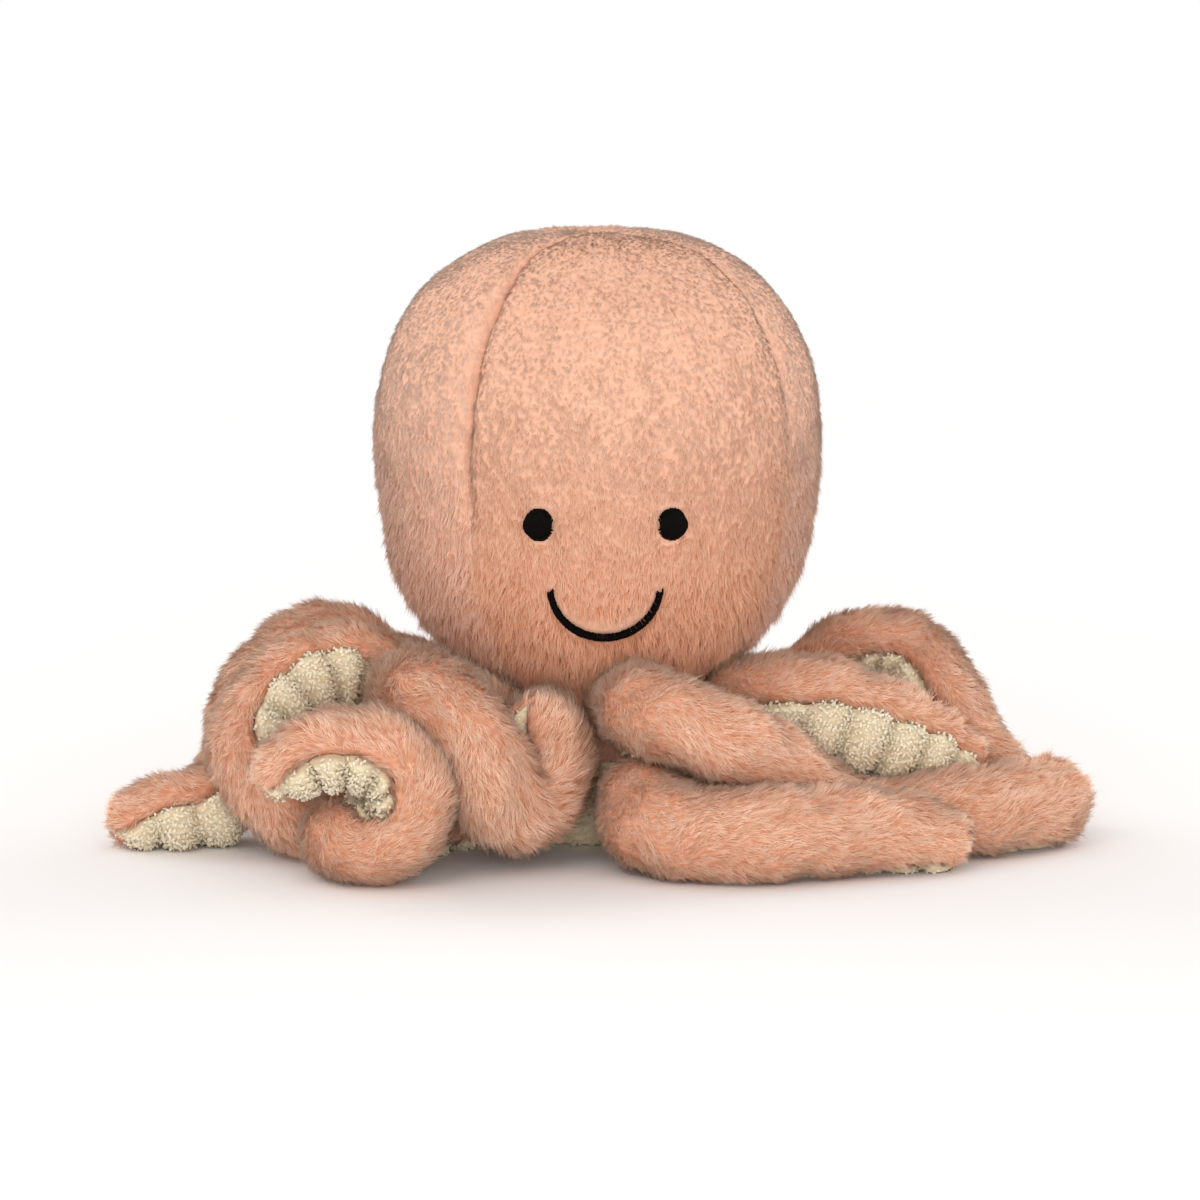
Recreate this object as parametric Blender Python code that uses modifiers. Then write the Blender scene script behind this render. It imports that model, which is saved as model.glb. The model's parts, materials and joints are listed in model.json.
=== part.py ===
"""A plush octopus, sitting with its eight arms coiled and sprawled about it.

Metres, +Z up. The origin is on the floor under the middle of the head, +X is the
toy's left as it faces the viewer, and -Y is the way it looks. A sewn head of four plush
panels stands on a ribbed base panel. Inside are a pouch of beans and loose stuffing.
Each arm is a plush cover and a ribbed underside, sewn round a core of stuffing.
"""
import math

import bpy
import bmesh
import numpy as np
from mathutils import Vector

# Head and base
HEAD_WIDTH = 0.081
HEAD_HEIGHT = 0.0935
HEAD_LIFT = 0.016
BASE_WIDTH = 0.047
POUCH_HEIGHT = 0.013
PLUSH_WALL = 0.0014
SEAM_GAP = 0.0003
WELD_DISTANCE = 0.00003
CROWN_HOLE = 0.0015
STUFFING_GAP = 0.0004

# Face
EYE_WIDTH = 0.0051
EYE_HEIGHT = 0.0057
EYE_SPACING = 0.0236
EYE_LEVEL = 0.0608
EYE_RISE = 0.0009
MOUTH_WIDTH = 0.0192
MOUTH_DROP = 0.0085
MOUTH_LEVEL = 0.0484
MOUTH_STROKE = 0.0012
FACE_TURN = math.radians(2.0)

# Arms
ARM_WIDTH = 0.015
ARM_WALL = 0.0016
RIB_PITCH = 0.0075
RIB_RISE = 0.0007
ARM_STUFFING_GAP = 0.0009
UNDERSIDE_HALF_ANGLE = math.radians(52.0)
SEAM_HALF_ANGLE = math.radians(3.0)
END_TURNS = (math.radians(38.0), math.radians(72.0))
END_NARROWING = 0.6
WALL_LIMIT = 0.7
RIB_LIMIT = 0.25
CORE_LIMIT = 0.125

# The head from the crown down: shares of half its width, and of its height
HEAD_OUTLINE_SHARES = [
    (0.00, 1.000), (0.30, 0.993), (0.55, 0.960), (0.78, 0.880), (0.93, 0.770),
    (1.00, 0.620), (0.98, 0.488), (0.92, 0.356), (0.82, 0.263), (0.68, 0.193),
    (0.56, 0.149), (0.53, 0.115), (0.56, 0.060), (0.58, 0.000),
]

# The base from its rim down: shares of half its width, and of its height
BASE_OUTLINE_SHARES = [
    (1.00, 1.00), (1.00, 0.80), (0.99, 0.43), (0.94, 0.12), (0.86, 0.00),
]

# How far out from the axis, as a share of half the head's width, the seams are SEAM_GAP wide
SEAM_RADIUS_SHARE = 0.25

# Where each seam between the head's panels runs, as a turn from straight ahead
PANEL_SEAMS = {
    "head_front_panel": (-36.0, 60.0),
    "head_left_panel": (60.0, 142.0),
    "head_back_panel": (142.0, 234.0),
    "head_right_panel": (234.0, 324.0),
}

# Each arm by number, counted round the body: the turn of its root from +X in degrees,
# then a row for the root and for each point of its middle line. A row holds a place
# from the root, across and away, its height over the floor and its half width there, all
# in arm widths, the share of a full underside that shows, and the way it faces.
DOWN = (0.0, 0.0, -1.0)
ARM_SHARES = {
    1: (285.0, [
        (0.00, 0.00, 0.55, 0.49, 0.9, DOWN), (0.01, -0.53, 0.68, 0.54, 0.9, (0.3, 0.1, -1.0)),
        (0.09, -0.90, 0.62, 0.55, 0.8, (0.5, 0.3, -0.8)),
        (0.52, -1.30, 0.53, 0.52, 0.8, (0.2, 0.6, -0.75)),
        (1.12, -1.37, 0.53, 0.52, 0.8, (0.0, 0.7, -0.7)),
        (1.80, -1.22, 0.52, 0.51, 0.8, (0.0, 0.7, -0.7)),
        (2.50, -0.92, 0.49, 0.48, 0.8, (0.0, 0.6, -0.8)),
        (3.03, -0.80, 0.44, 0.43, 0.8, (0.0, 0.3, -0.9)),
        (3.42, -0.78, 0.37, 0.36, 0.8, (0.0, 0.2, -0.95)),
    ]),
    2: (281.0, [
        (0.00, 0.00, 1.77, 0.45, 0.9, DOWN), (0.08, -0.47, 1.87, 0.47, 0.9, DOWN),
        (0.22, -0.84, 1.88, 0.47, 0.8, (-0.3, 0.5, -0.7)),
        (0.54, -1.09, 1.81, 0.47, 0.8, (-0.4, 0.7, -0.55)),
        (0.96, -1.08, 1.64, 0.46, 0.8, (-0.35, 0.75, -0.5)),
        (1.36, -0.82, 1.39, 0.45, 0.8, (-0.3, 0.75, -0.6)),
        (1.76, -0.48, 1.08, 0.45, 0.8, (-0.3, 0.7, -0.6)),
        (2.16, -0.17, 0.73, 0.44, 0.8, (-0.2, 0.6, -0.75)),
        (2.73, 0.05, 0.44, 0.43, 0.8, (0.0, 0.6, -0.8)),
        (3.54, 0.10, 0.48, 0.47, 0.8, (0.0, 0.6, -0.8)),
        (4.18, 0.13, 0.50, 0.49, 0.8, (0.0, 0.6, -0.8)),
        (4.62, 0.40, 0.51, 0.50, 0.8, (0.0, 0.5, -0.85)),
        (4.95, 0.73, 0.50, 0.49, 0.8, (0.0, 0.5, -0.85)),
    ]),
    3: (333.0, [
        (0.00, 0.00, 1.70, 0.48, 1.0, (0.0, -0.6, -0.8)),
        (0.64, -0.37, 1.69, 0.56, 1.0, (0.0, -0.75, -0.66)),
        (1.21, -0.44, 1.53, 0.59, 1.0, (0.0, -0.9, -0.43)),
        (1.71, -0.37, 1.35, 0.53, 1.0, (0.0, -0.92, -0.4)),
        (2.19, -0.24, 1.16, 0.43, 1.0, (0.0, -0.95, -0.3)),
        (2.53, -0.14, 1.01, 0.33, 0.9, (0.0, -0.95, -0.3)),
    ]),
    4: (30.0, [
        (0.00, 0.00, 1.33, 0.45, 0.8, (0.0, -0.6, -0.8)),
        (0.74, 0.13, 1.47, 0.47, 0.8, (0.0, -0.7, -0.7)),
        (1.22, 0.09, 1.82, 0.47, 0.6, (-0.1, -0.8, -0.5)),
        (1.70, -0.07, 2.01, 0.47, 0.4, (-0.1, -0.9, -0.4)),
        (2.13, -0.37, 1.92, 0.47, 0.4, (-0.3, -0.9, -0.3)),
        (2.38, -0.74, 1.60, 0.47, 0.4, (-0.5, -0.85, -0.2)),
        (2.60, -1.04, 1.17, 0.47, 0.5, (-0.7, -0.7, -0.1)),
        (2.92, -1.21, 0.73, 0.44, 0.8, (-0.4, -0.6, -0.7)), (3.35, -1.21, 0.40, 0.39, 0.9, DOWN),
        (3.66, -1.14, 0.36, 0.35, 0.9, DOWN),
    ]),
    5: (155.0, [
        (0.00, 0.00, 1.47, 0.48, 0.9, DOWN), (-0.77, -0.05, 1.73, 0.48, 0.9, (0.1, -0.1, -1.0)),
        (-1.44, -0.19, 2.09, 0.49, 0.9, (0.2, -0.3, -0.9)),
        (-1.94, -0.65, 1.96, 0.49, 0.9, (0.6, -0.2, -0.7)),
        (-2.28, -1.09, 1.57, 0.48, 0.9, (0.8, -0.2, -0.3)),
        (-2.39, -1.45, 1.09, 0.47, 0.9, (0.7, -0.5, -0.1)),
        (-2.52, -1.85, 0.65, 0.47, 0.9, (0.3, -0.85, -0.25)),
        (-2.91, -2.15, 0.47, 0.46, 1.0, (0.1, -0.85, -0.5)),
        (-3.33, -2.25, 0.41, 0.40, 1.0, (0.0, -0.8, -0.6)),
        (-3.65, -2.25, 0.34, 0.33, 0.7, (0.0, -0.8, -0.6)),
    ]),
    6: (196.0, [
        (0.00, 0.00, 1.53, 0.48, 0.9, (0.0, -0.4, -0.9)),
        (-0.68, -0.45, 1.99, 0.49, 0.9, (0.0, -0.7, -0.7)),
        (-1.20, -0.71, 2.12, 0.50, 1.0, (0.1, -0.95, -0.25)),
        (-1.64, -0.98, 1.99, 0.50, 1.0, (0.4, -0.9, -0.15)),
        (-2.02, -1.25, 1.65, 0.50, 1.0, (0.7, -0.7, 0.0)),
        (-2.12, -1.45, 1.26, 0.49, 1.0, (0.9, -0.35, 0.25)),
        (-1.91, -1.55, 0.87, 0.49, 1.0, (0.6, -0.1, 0.7)),
        (-1.54, -1.45, 0.48, 0.47, 0.9, (0.2, 0.1, 0.9)),
    ]),
    7: (222.0, [
        (0.00, 0.00, 0.57, 0.46, 0.9, DOWN), (-0.65, -0.53, 0.46, 0.45, 0.9, (0.3, 0.0, -0.9)),
        (-0.98, -0.97, 0.46, 0.45, 0.9, (0.8, -0.3, -0.4)),
        (-1.32, -1.42, 0.47, 0.46, 1.0, (0.95, 0.0, 0.2)),
        (-1.40, -1.90, 0.48, 0.47, 1.0, (0.6, 0.5, 0.6)),
        (-1.08, -2.20, 0.46, 0.45, 1.0, (0.1, 0.5, 0.9)),
        (-0.72, -2.27, 0.66, 0.43, 1.0, (-0.5, 0.2, 0.9)),
        (-0.60, -2.30, 1.00, 0.44, 1.0, (-0.95, 0.0, 0.2)),
        (-0.71, -2.33, 1.37, 0.44, 1.0, (-0.8, -0.2, -0.5)),
        (-0.99, -2.37, 1.59, 0.44, 1.0, (-0.3, -0.4, -0.9)),
        (-1.33, -2.37, 1.65, 0.43, 1.0, (0.0, -0.5, -0.85)),
        (-1.74, -2.37, 1.59, 0.40, 1.0, (0.3, -0.5, -0.8)),
        (-2.06, -2.37, 1.40, 0.34, 0.9, (0.5, -0.45, -0.7)),
    ]),
    8: (226.0, [
        (0.00, 0.00, 1.53, 0.47, 0.9, DOWN), (-0.45, -0.37, 1.81, 0.47, 0.9, (0.1, -0.2, -1.0)),
        (-0.77, -0.80, 1.96, 0.48, 0.9, (0.2, 0.0, -1.0)),
        (-0.63, -1.27, 2.05, 0.48, 0.9, (0.6, 0.3, -0.8)),
        (-0.25, -1.59, 1.80, 0.48, 0.8, (0.5, 0.7, -0.5)),
        (0.05, -1.70, 1.40, 0.49, 0.8, (0.55, 0.8, 0.1)),
        (0.20, -1.54, 0.99, 0.50, 0.8, (0.3, 0.6, 0.7)),
        (0.42, -1.23, 0.76, 0.50, 0.8, (0.0, 0.1, 1.0)),
        (0.68, -0.93, 0.91, 0.50, 0.7, (-0.3, -0.45, 0.8)),
        (0.78, -0.86, 1.27, 0.50, 0.6, (-0.6, -0.75, 0.25)),
        (0.73, -0.93, 1.55, 0.47, 0.5, (-0.75, -0.65, 0.0)),
    ]),
}

# How finely round things and middle lines are drawn
TURN_STEPS = 24
PROFILE_STEPS = 2
ROUTE_STEPS = 10
MOUTH_STEPS = 14
POUCH_STEPS = 7
SLOPE_STEP = 0.01
SHARP_ANGLE = math.radians(40.0)
COVER_POINTS = (6, 5)
UNDERSIDE_POINTS = (4, 2)
STUFFING_POINTS = 5

# The colour and the roughness of each material
PEACH_PLUSH = ((0.72, 0.40, 0.27, 1.0), 0.90)
CREAM_TERRY = ((0.74, 0.68, 0.45, 1.0), 0.95)
WHITE_STUFFING = ((0.80, 0.80, 0.78, 1.0), 0.95)
POUCH_CLOTH = ((0.55, 0.47, 0.35, 1.0), 0.90)
BLACK_THREAD = ((0.01, 0.01, 0.012, 1.0), 0.45)


def clear_scene():
    for obj in list(bpy.data.objects):
        bpy.data.objects.remove(obj)


def make_collection(name):
    collection = bpy.data.collections.new(name)
    bpy.context.scene.collection.children.link(collection)
    return collection


def make_material(name, look):
    colour, roughness = look
    material = bpy.data.materials.new(name)
    material.use_nodes = True
    shader = material.node_tree.nodes["Principled BSDF"]
    shader.inputs["Base Color"].default_value = colour
    shader.inputs["Roughness"].default_value = roughness
    shader.inputs["Metallic"].default_value = 0.0
    material.diffuse_color = colour
    return material


def add_object(name, data, collection, material):
    obj = bpy.data.objects.new(name, data)
    obj.data.materials.append(material)
    collection.objects.link(obj)
    return obj


def smooth_rows(rows, steps):
    """Rows of numbers read from the smooth curve that passes through the given rows."""
    rows = np.array(rows, float)
    before = np.vstack([2 * rows[0] - rows[1], rows, 2 * rows[-1] - rows[-2]])
    read = []
    for a, b, c, d in zip(before, before[1:], before[2:], before[3:]):
        for t in np.arange(steps) / steps:
            pull = (c - a) * t + (2 * a - 5 * b + 4 * c - d) * t**2
            read.append(b + 0.5 * (pull + (3 * b - a - 3 * c + d) * t**3))
    return np.vstack([read, rows[-1]])


def head_outline():
    """(radius, height) down the outside of the head, from the crown to its lower seam."""
    shares = smooth_rows(HEAD_OUTLINE_SHARES, PROFILE_STEPS)
    return shares * (HEAD_WIDTH / 2, HEAD_HEIGHT) + (0.0, HEAD_LIFT)


def base_outline():
    """(radius, height) down the outside of the base, from its rim to the floor."""
    shares = smooth_rows(BASE_OUTLINE_SHARES, PROFILE_STEPS)
    return shares * (BASE_WIDTH / 2, HEAD_LIFT - SEAM_GAP)


def body_outline():
    return np.vstack([head_outline(), base_outline()])


def head_radius(height):
    outline = head_outline()[::-1]
    return float(np.interp(height, outline[:, 1], outline[:, 0]))


def inset_outline(outline, depth):
    """The outline moved inwards, square to itself, and kept off the axis."""
    along = np.gradient(outline, axis=0)
    along /= np.linalg.norm(along, axis=1)[:, None]
    inner = outline + depth * np.column_stack([along[:, 1], -along[:, 0]])
    inner[:, 0] = np.maximum(inner[:, 0], 0.0)
    return inner


def turned(name, outline, angle, steps, collection, material):
    """An outline at +X, from the top down, turned about Z by a Screw."""
    mesh = bpy.data.meshes.new(name)
    points = [(radius, 0.0, height) for radius, height in outline]
    mesh.from_pydata(points, [(i, i + 1) for i in range(len(points) - 1)], [])
    obj = add_object(name, mesh, collection, material)
    screw = obj.modifiers.new("Turn", "SCREW")
    screw.angle = angle
    screw.steps = screw.render_steps = steps
    screw.use_merge_vertices = True
    screw.merge_threshold = WELD_DISTANCE
    screw.use_smooth_shade = True
    return obj


def give_wall(obj, thickness):
    wall = obj.modifiers.new("Wall", "SOLIDIFY")
    wall.thickness = thickness
    wall.offset = -1.0
    wall.use_even_offset = True


def make_head_panels(collection, plush):
    """Four gores that meet in seams at the crown, each a sector of the head's outline."""
    outline = head_outline()
    outline[0, 0] = CROWN_HOLE
    gap_turn = SEAM_GAP / (HEAD_WIDTH / 2 * SEAM_RADIUS_SHARE)
    for name, (start, end) in PANEL_SEAMS.items():
        sector = math.radians(end - start) - gap_turn
        steps = round(TURN_STEPS * sector / math.tau)
        panel = turned(name, outline, sector, steps, collection, plush)
        panel.rotation_euler.z = math.radians(start - 90.0) + gap_turn / 2
        give_wall(panel, PLUSH_WALL)


def make_base_panel(collection, terry):
    outline = np.vstack([base_outline(), (0.0, 0.0)])
    base = turned("base_panel", outline, math.tau, TURN_STEPS, collection, terry)
    give_wall(base, PLUSH_WALL)


def make_bean_pouch(collection, cotton):
    """A low bag of beans that weighs the base down."""
    floor = PLUSH_WALL + STUFFING_GAP
    across = BASE_WIDTH / 2 * BASE_OUTLINE_SHARES[-1][0] - PLUSH_WALL - 2 * STUFFING_GAP
    corner = POUCH_HEIGHT / 2
    bend = np.linspace(math.pi / 2, -math.pi / 2, POUCH_STEPS)
    side = np.column_stack([across - corner + corner * np.cos(bend), corner * np.sin(bend)])
    outline = np.vstack([(0.0, corner), side, (0.0, -corner)]) + (0.0, floor + corner)
    turned("bean_pouch", outline, math.tau, TURN_STEPS, collection, cotton)


def make_head_stuffing(collection, cotton):
    """One lump of stuffing that fills the head above the pouch."""
    outline = inset_outline(body_outline(), PLUSH_WALL + STUFFING_GAP + SEAM_GAP)
    bottom = PLUSH_WALL + STUFFING_GAP + POUCH_HEIGHT + STUFFING_GAP
    kept = outline[outline[:, 1] > bottom]
    kept[0, 0] = 0.0
    end = (kept[-1, 0], bottom)
    outline = np.vstack([kept, end, (0.0, bottom)])
    turned("head_stuffing", outline, math.tau, TURN_STEPS, collection, cotton)


def face_point(across, height, lift):
    """A place on the front of the head, and the way out of the plush there."""
    radius = head_radius(height)
    turn = FACE_TURN + across / radius
    rise = HEAD_HEIGHT * SLOPE_STEP
    slope = (head_radius(height + rise) - head_radius(height - rise)) / (2 * rise)
    out = Vector((math.sin(turn), -math.cos(turn), -slope)).normalized()
    place = Vector((radius * math.sin(turn), -radius * math.cos(turn), height))
    return place + lift * out, out


def make_eyes(collection, thread):
    """Two oval pads of satin stitch."""
    for name, side in (("right_eye", -1), ("left_eye", 1)):
        place, out = face_point(side * EYE_SPACING / 2, EYE_LEVEL, SEAM_GAP + EYE_RISE / 2)
        bm = bmesh.new()
        bmesh.ops.create_cone(
            bm, cap_ends=True, segments=TURN_STEPS, depth=EYE_RISE,
            radius1=EYE_WIDTH / 2, radius2=EYE_WIDTH / 2 - EYE_RISE / 2,
        )
        bmesh.ops.scale(bm, vec=(1.0, EYE_HEIGHT / EYE_WIDTH, 1.0), verts=bm.verts)
        mesh = bpy.data.meshes.new(name)
        bm.to_mesh(mesh)
        bm.free()
        mesh.shade_smooth()
        mesh.set_sharp_from_angle(angle=SHARP_ANGLE)
        eye = add_object(name, mesh, collection, thread)
        eye.location = place
        eye.rotation_mode = "QUATERNION"
        eye.rotation_quaternion = out.to_track_quat("Z", "Y")


def make_mouth(collection, thread):
    """A smile in one row of satin stitch: an arc that follows the head."""
    half = MOUTH_WIDTH / 2
    radius = (half**2 + MOUTH_DROP**2) / (2 * MOUTH_DROP)
    reach = math.atan2(half, radius - MOUTH_DROP)
    curve = bpy.data.curves.new("mouth", "CURVE")
    curve.dimensions = "3D"
    curve.bevel_depth = MOUTH_STROKE / 2
    curve.bevel_resolution = 1
    curve.use_fill_caps = True
    spline = curve.splines.new("POLY")
    spline.points.add(MOUTH_STEPS)
    for point, turn in zip(spline.points, np.linspace(-reach, reach, MOUTH_STEPS + 1)):
        across = radius * math.sin(turn)
        height = MOUTH_LEVEL - MOUTH_DROP + radius * (1 - math.cos(turn))
        place, _ = face_point(across, height, SEAM_GAP + MOUTH_STROKE / 2)
        point.co = (*place, 1.0)
    add_object("mouth", curve, collection, thread)


def root_place(turn, height, half_width):
    """Where an arm's round root rests against the body, at this height, one seam gap off."""
    reach = half_width + SEAM_GAP
    outline = smooth_rows(body_outline(), PROFILE_STEPS)
    near = outline[np.abs(outline[:, 1] - height) < reach]
    out = (near[:, 0] + np.sqrt(reach**2 - (near[:, 1] - height) ** 2)).max()
    return np.array([out * math.cos(turn), out * math.sin(turn), 0.0])


def arm_stations(turn, rows):
    """(root, places, half widths, openings, facings) at steps of half a rib along an arm."""
    numbers = np.array([(*row[:5], *row[5]) for row in rows])
    numbers[:, :4] *= ARM_WIDTH
    root = root_place(turn, numbers[0, 2], numbers[0, 3])
    numbers[:, :3] += root
    path = smooth_rows(numbers, ROUTE_STEPS)
    steps = np.linalg.norm(np.diff(path[:, :3], axis=0), axis=1)
    run = np.concatenate([[0.0], np.cumsum(steps)])
    count = 2 * round(run[-1] / RIB_PITCH) + 1
    at = np.linspace(0.0, run[-1], count)
    read = np.column_stack([np.interp(at, run, column) for column in path.T])
    return read[0, :3], read[:, :3], read[:, 3], read[:, 4], read[:, 5:]


def with_round_ends(places, widths, openings, facings):
    """The stations with a dome added past each end, where the underside narrows away."""
    for _ in ("tip", "root"):
        end, last = places[-1], widths[-1]
        way = end - places[-2]
        way /= np.linalg.norm(way)
        for turn in END_TURNS:
            places = np.vstack([places, end + way * last * math.sin(turn)])
            widths = np.append(widths, last * math.cos(turn))
            openings = np.append(openings, openings[-1] * END_NARROWING)
            facings = np.vstack([facings, facings[-1]])
        places, widths = places[::-1], widths[::-1]
        openings, facings = openings[::-1], facings[::-1]
    return places, widths, openings, facings


def section_frames(places, facings):
    """For each station, the way its underside faces and the way across, square to its run."""
    along = np.gradient(places, axis=0)
    along /= np.linalg.norm(along, axis=1)[:, None]
    under = facings - (facings * along).sum(axis=1)[:, None] * along
    under /= np.linalg.norm(under, axis=1)[:, None]
    return under, np.cross(along, under)


def loft(name, rings, origin, collection, material):
    """A closed skin over rings of points, flat where it would pass through the floor."""
    rings = np.array(rings)
    rings[:, :, 2] = np.maximum(rings[:, :, 2], 0.0)
    rings -= origin
    around = rings.shape[1]
    bm = bmesh.new()
    verts = [[bm.verts.new(point) for point in ring] for ring in rings]
    for near, far in zip(verts, verts[1:]):
        for i in range(around):
            j = (i + 1) % around
            bm.faces.new((near[i], near[j], far[j], far[i]))
    caps = [bm.faces.new(verts[0][::-1]), bm.faces.new(verts[-1])]
    bmesh.ops.triangulate(bm, faces=caps)
    mesh = bpy.data.meshes.new(name)
    bm.to_mesh(mesh)
    bm.free()
    mesh.shade_smooth()
    obj = add_object(name, mesh, collection, material)
    obj.location = origin
    return obj


def make_arm(number, collection, plush, terry, cotton):
    """An arm's cover, ribbed underside and stuffing, lofted over the same stations."""
    degrees, rows = ARM_SHARES[number]
    root, places, widths, openings, facings = arm_stations(math.radians(degrees), rows)
    ribs = np.tile((-1.0, 1.0), len(widths))[: len(widths)] * RIB_RISE / 2
    places, widths, openings, facings = with_round_ends(places, widths, openings, facings)
    ribs = np.minimum(np.pad(ribs, len(END_TURNS)), widths * RIB_LIMIT)
    under, across = section_frames(places, facings)
    walls = np.minimum(ARM_WALL, widths * WALL_LIMIT)
    cores = np.maximum(widths - walls - ARM_STUFFING_GAP, widths * CORE_LIMIT)

    def rings(half_angles, sides, start, end, count):
        """Points round each station, from one turn of its underside's edge to another."""
        made = []
        for half, radius, place, down, side in zip(half_angles, sides, places, under, across):
            angles = np.linspace(start(half), end(half), count)[:, None]
            made.append(place + radius * (np.cos(angles) * down + np.sin(angles) * side))
        return np.array(made)

    def near(half):
        return half

    def far(half):
        return math.tau - half

    def back(half):
        return -half

    seams = UNDERSIDE_HALF_ANGLE * openings
    edge = seams + SEAM_HALF_ANGLE
    strip = seams - SEAM_HALF_ANGLE
    outer, inner = COVER_POINTS
    cover = np.hstack([
        rings(edge, widths, near, far, outer), rings(edge, widths - walls, far, near, inner),
    ])
    outer, inner = UNDERSIDE_POINTS
    underside = np.hstack([
        rings(strip, widths + ribs, back, near, outer), rings(strip, widths - walls, near, back, inner),
    ])
    stuffing = rings(edge, cores, near, far, STUFFING_POINTS)
    parts = (("cover", cover, plush), ("underside", underside, terry), ("stuffing", stuffing, cotton))
    for part, made, material in parts:
        loft(f"arm_{number}_{part}", made, Vector(root), collection, material)


def build():
    clear_scene()
    collection = make_collection("plush_octopus")
    plush = make_material("peach_plush", PEACH_PLUSH)
    terry = make_material("cream_ribbed_terry", CREAM_TERRY)
    cotton = make_material("white_stuffing", WHITE_STUFFING)
    cloth = make_material("pouch_cloth", POUCH_CLOTH)
    thread = make_material("black_satin_thread", BLACK_THREAD)
    make_head_panels(collection, plush)
    make_base_panel(collection, terry)
    make_bean_pouch(collection, cloth)
    make_head_stuffing(collection, cotton)
    make_eyes(collection, thread)
    make_mouth(collection, thread)
    for number in ARM_SHARES:
        make_arm(number, collection, plush, terry, cotton)


build()
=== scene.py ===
# %% [markdown]
# # A plush octopus with eight ribbed arms
#
# The toy is sewn from two fabrics. Peach plush with a long soft pile covers the head and
# the backs of the arms, and cream terry, gathered into ribs, faces the undersides. This
# lesson dresses the plain CAD parts: each panel becomes a sheet of cloth that is bent to
# shape, and each sheet then grows its own pile of real, small faces.

# %% The CAD parts that everything is fitted to
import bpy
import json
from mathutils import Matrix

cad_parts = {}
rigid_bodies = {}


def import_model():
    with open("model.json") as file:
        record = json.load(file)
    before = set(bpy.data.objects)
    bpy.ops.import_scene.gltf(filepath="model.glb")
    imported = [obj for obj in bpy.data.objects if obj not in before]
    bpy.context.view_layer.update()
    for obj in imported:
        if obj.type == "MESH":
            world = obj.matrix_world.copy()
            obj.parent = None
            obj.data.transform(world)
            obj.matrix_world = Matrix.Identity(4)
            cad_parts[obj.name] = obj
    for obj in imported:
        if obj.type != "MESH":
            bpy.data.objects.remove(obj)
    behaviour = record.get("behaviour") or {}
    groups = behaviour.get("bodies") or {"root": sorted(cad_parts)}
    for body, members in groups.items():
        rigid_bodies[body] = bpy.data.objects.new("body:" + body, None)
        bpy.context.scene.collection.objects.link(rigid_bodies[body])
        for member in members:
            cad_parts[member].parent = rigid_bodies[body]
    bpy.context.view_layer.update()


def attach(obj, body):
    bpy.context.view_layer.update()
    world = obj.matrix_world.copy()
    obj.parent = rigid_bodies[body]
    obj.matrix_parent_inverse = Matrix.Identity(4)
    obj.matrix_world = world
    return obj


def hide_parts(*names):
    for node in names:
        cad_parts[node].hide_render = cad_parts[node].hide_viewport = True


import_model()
import json
import math

import bmesh
import bpy
import numpy as np
from mathutils import Vector

scene = bpy.context.scene


def add_object(name, data):
    obj = bpy.data.objects.new(name, data)
    scene.collection.objects.link(obj)
    return obj


# %% [markdown]
# ## Camera, floor and light
#
# A long lens from a little above keeps the sprawled arms in proportion. The room is plain:
# one pale floor that runs far back, and soft light from large lamps, so that the pile
# is modelled by gentle shade and not by hard shadows.

# %% A long lens a metre away, nine degrees above the floor
MM = 0.001
VIEW_DISTANCE = 1.0
VIEW_TILT = math.radians(9.0)
AIM = Vector((0.00036, 0.00637, 0.04023))
LENS_LENGTH, SENSOR_WIDTH = 165.0, 36.0  # in millimetres
camera = add_object("camera", bpy.data.cameras.new("camera"))
camera.data.lens = LENS_LENGTH
camera.data.sensor_width = SENSOR_WIDTH
camera.location = AIM - VIEW_DISTANCE * Vector((0.0, math.cos(VIEW_TILT), -math.sin(VIEW_TILT)))
camera.rotation_euler = (math.pi / 2 - VIEW_TILT, 0.0, 0.0)
scene.camera = camera
scene.view_settings.view_transform = "Standard"

# %% Small helpers for node materials
def new_material(name, viewport):
    """An empty node material: its tree and its output."""
    material = bpy.data.materials.new(name)
    material.use_nodes = True
    material.node_tree.nodes.clear()
    material.diffuse_color = (*viewport, 1.0)
    return material, material.node_tree, material.node_tree.nodes.new("ShaderNodeOutputMaterial")


def add_node(tree, kind, links=(), **settings):
    """A node with its settings and socket values, linked from (socket name, output)."""
    node = tree.nodes.new("ShaderNode" + kind)
    for key, value in settings.items():
        if hasattr(node, key):
            setattr(node, key, value)
        else:
            node.inputs[key.replace("_", " ")].default_value = value
    for socket, output in links:
        tree.links.new(output, node.inputs[socket])
    return node


def add_ramp(tree, factor, first, last, places=(0.0, 1.0)):
    """A ramp from one colour to another, at these places along the factor."""
    ramp = add_node(tree, "ValToRGB", [("Fac", factor)])
    for element, colour, place in zip(ramp.color_ramp.elements, (first, last), places):
        element.color = (*colour, 1.0)
        element.position = place
    return ramp


def add_noise(tree, place, scale, detail):
    """Soft noise, from 0 to 1."""
    return add_node(tree, "TexNoise", [("Vector", place)], Scale=scale, Detail=detail).outputs["Fac"]


def multiply(tree, first, second):
    return add_node(tree, "Math", [(0, first), (1, second)], operation="MULTIPLY").outputs[0]


def finish_material(tree, output, colour, roughness, shine=0.5):
    """The shader that ends a material."""
    shader = add_node(tree, "BsdfPrincipled", [("Base Color", colour.outputs[0])], Roughness=roughness)
    shader.inputs["Specular IOR Level"].default_value = shine
    tree.links.new(shader.outputs[0], output.inputs["Surface"])


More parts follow.
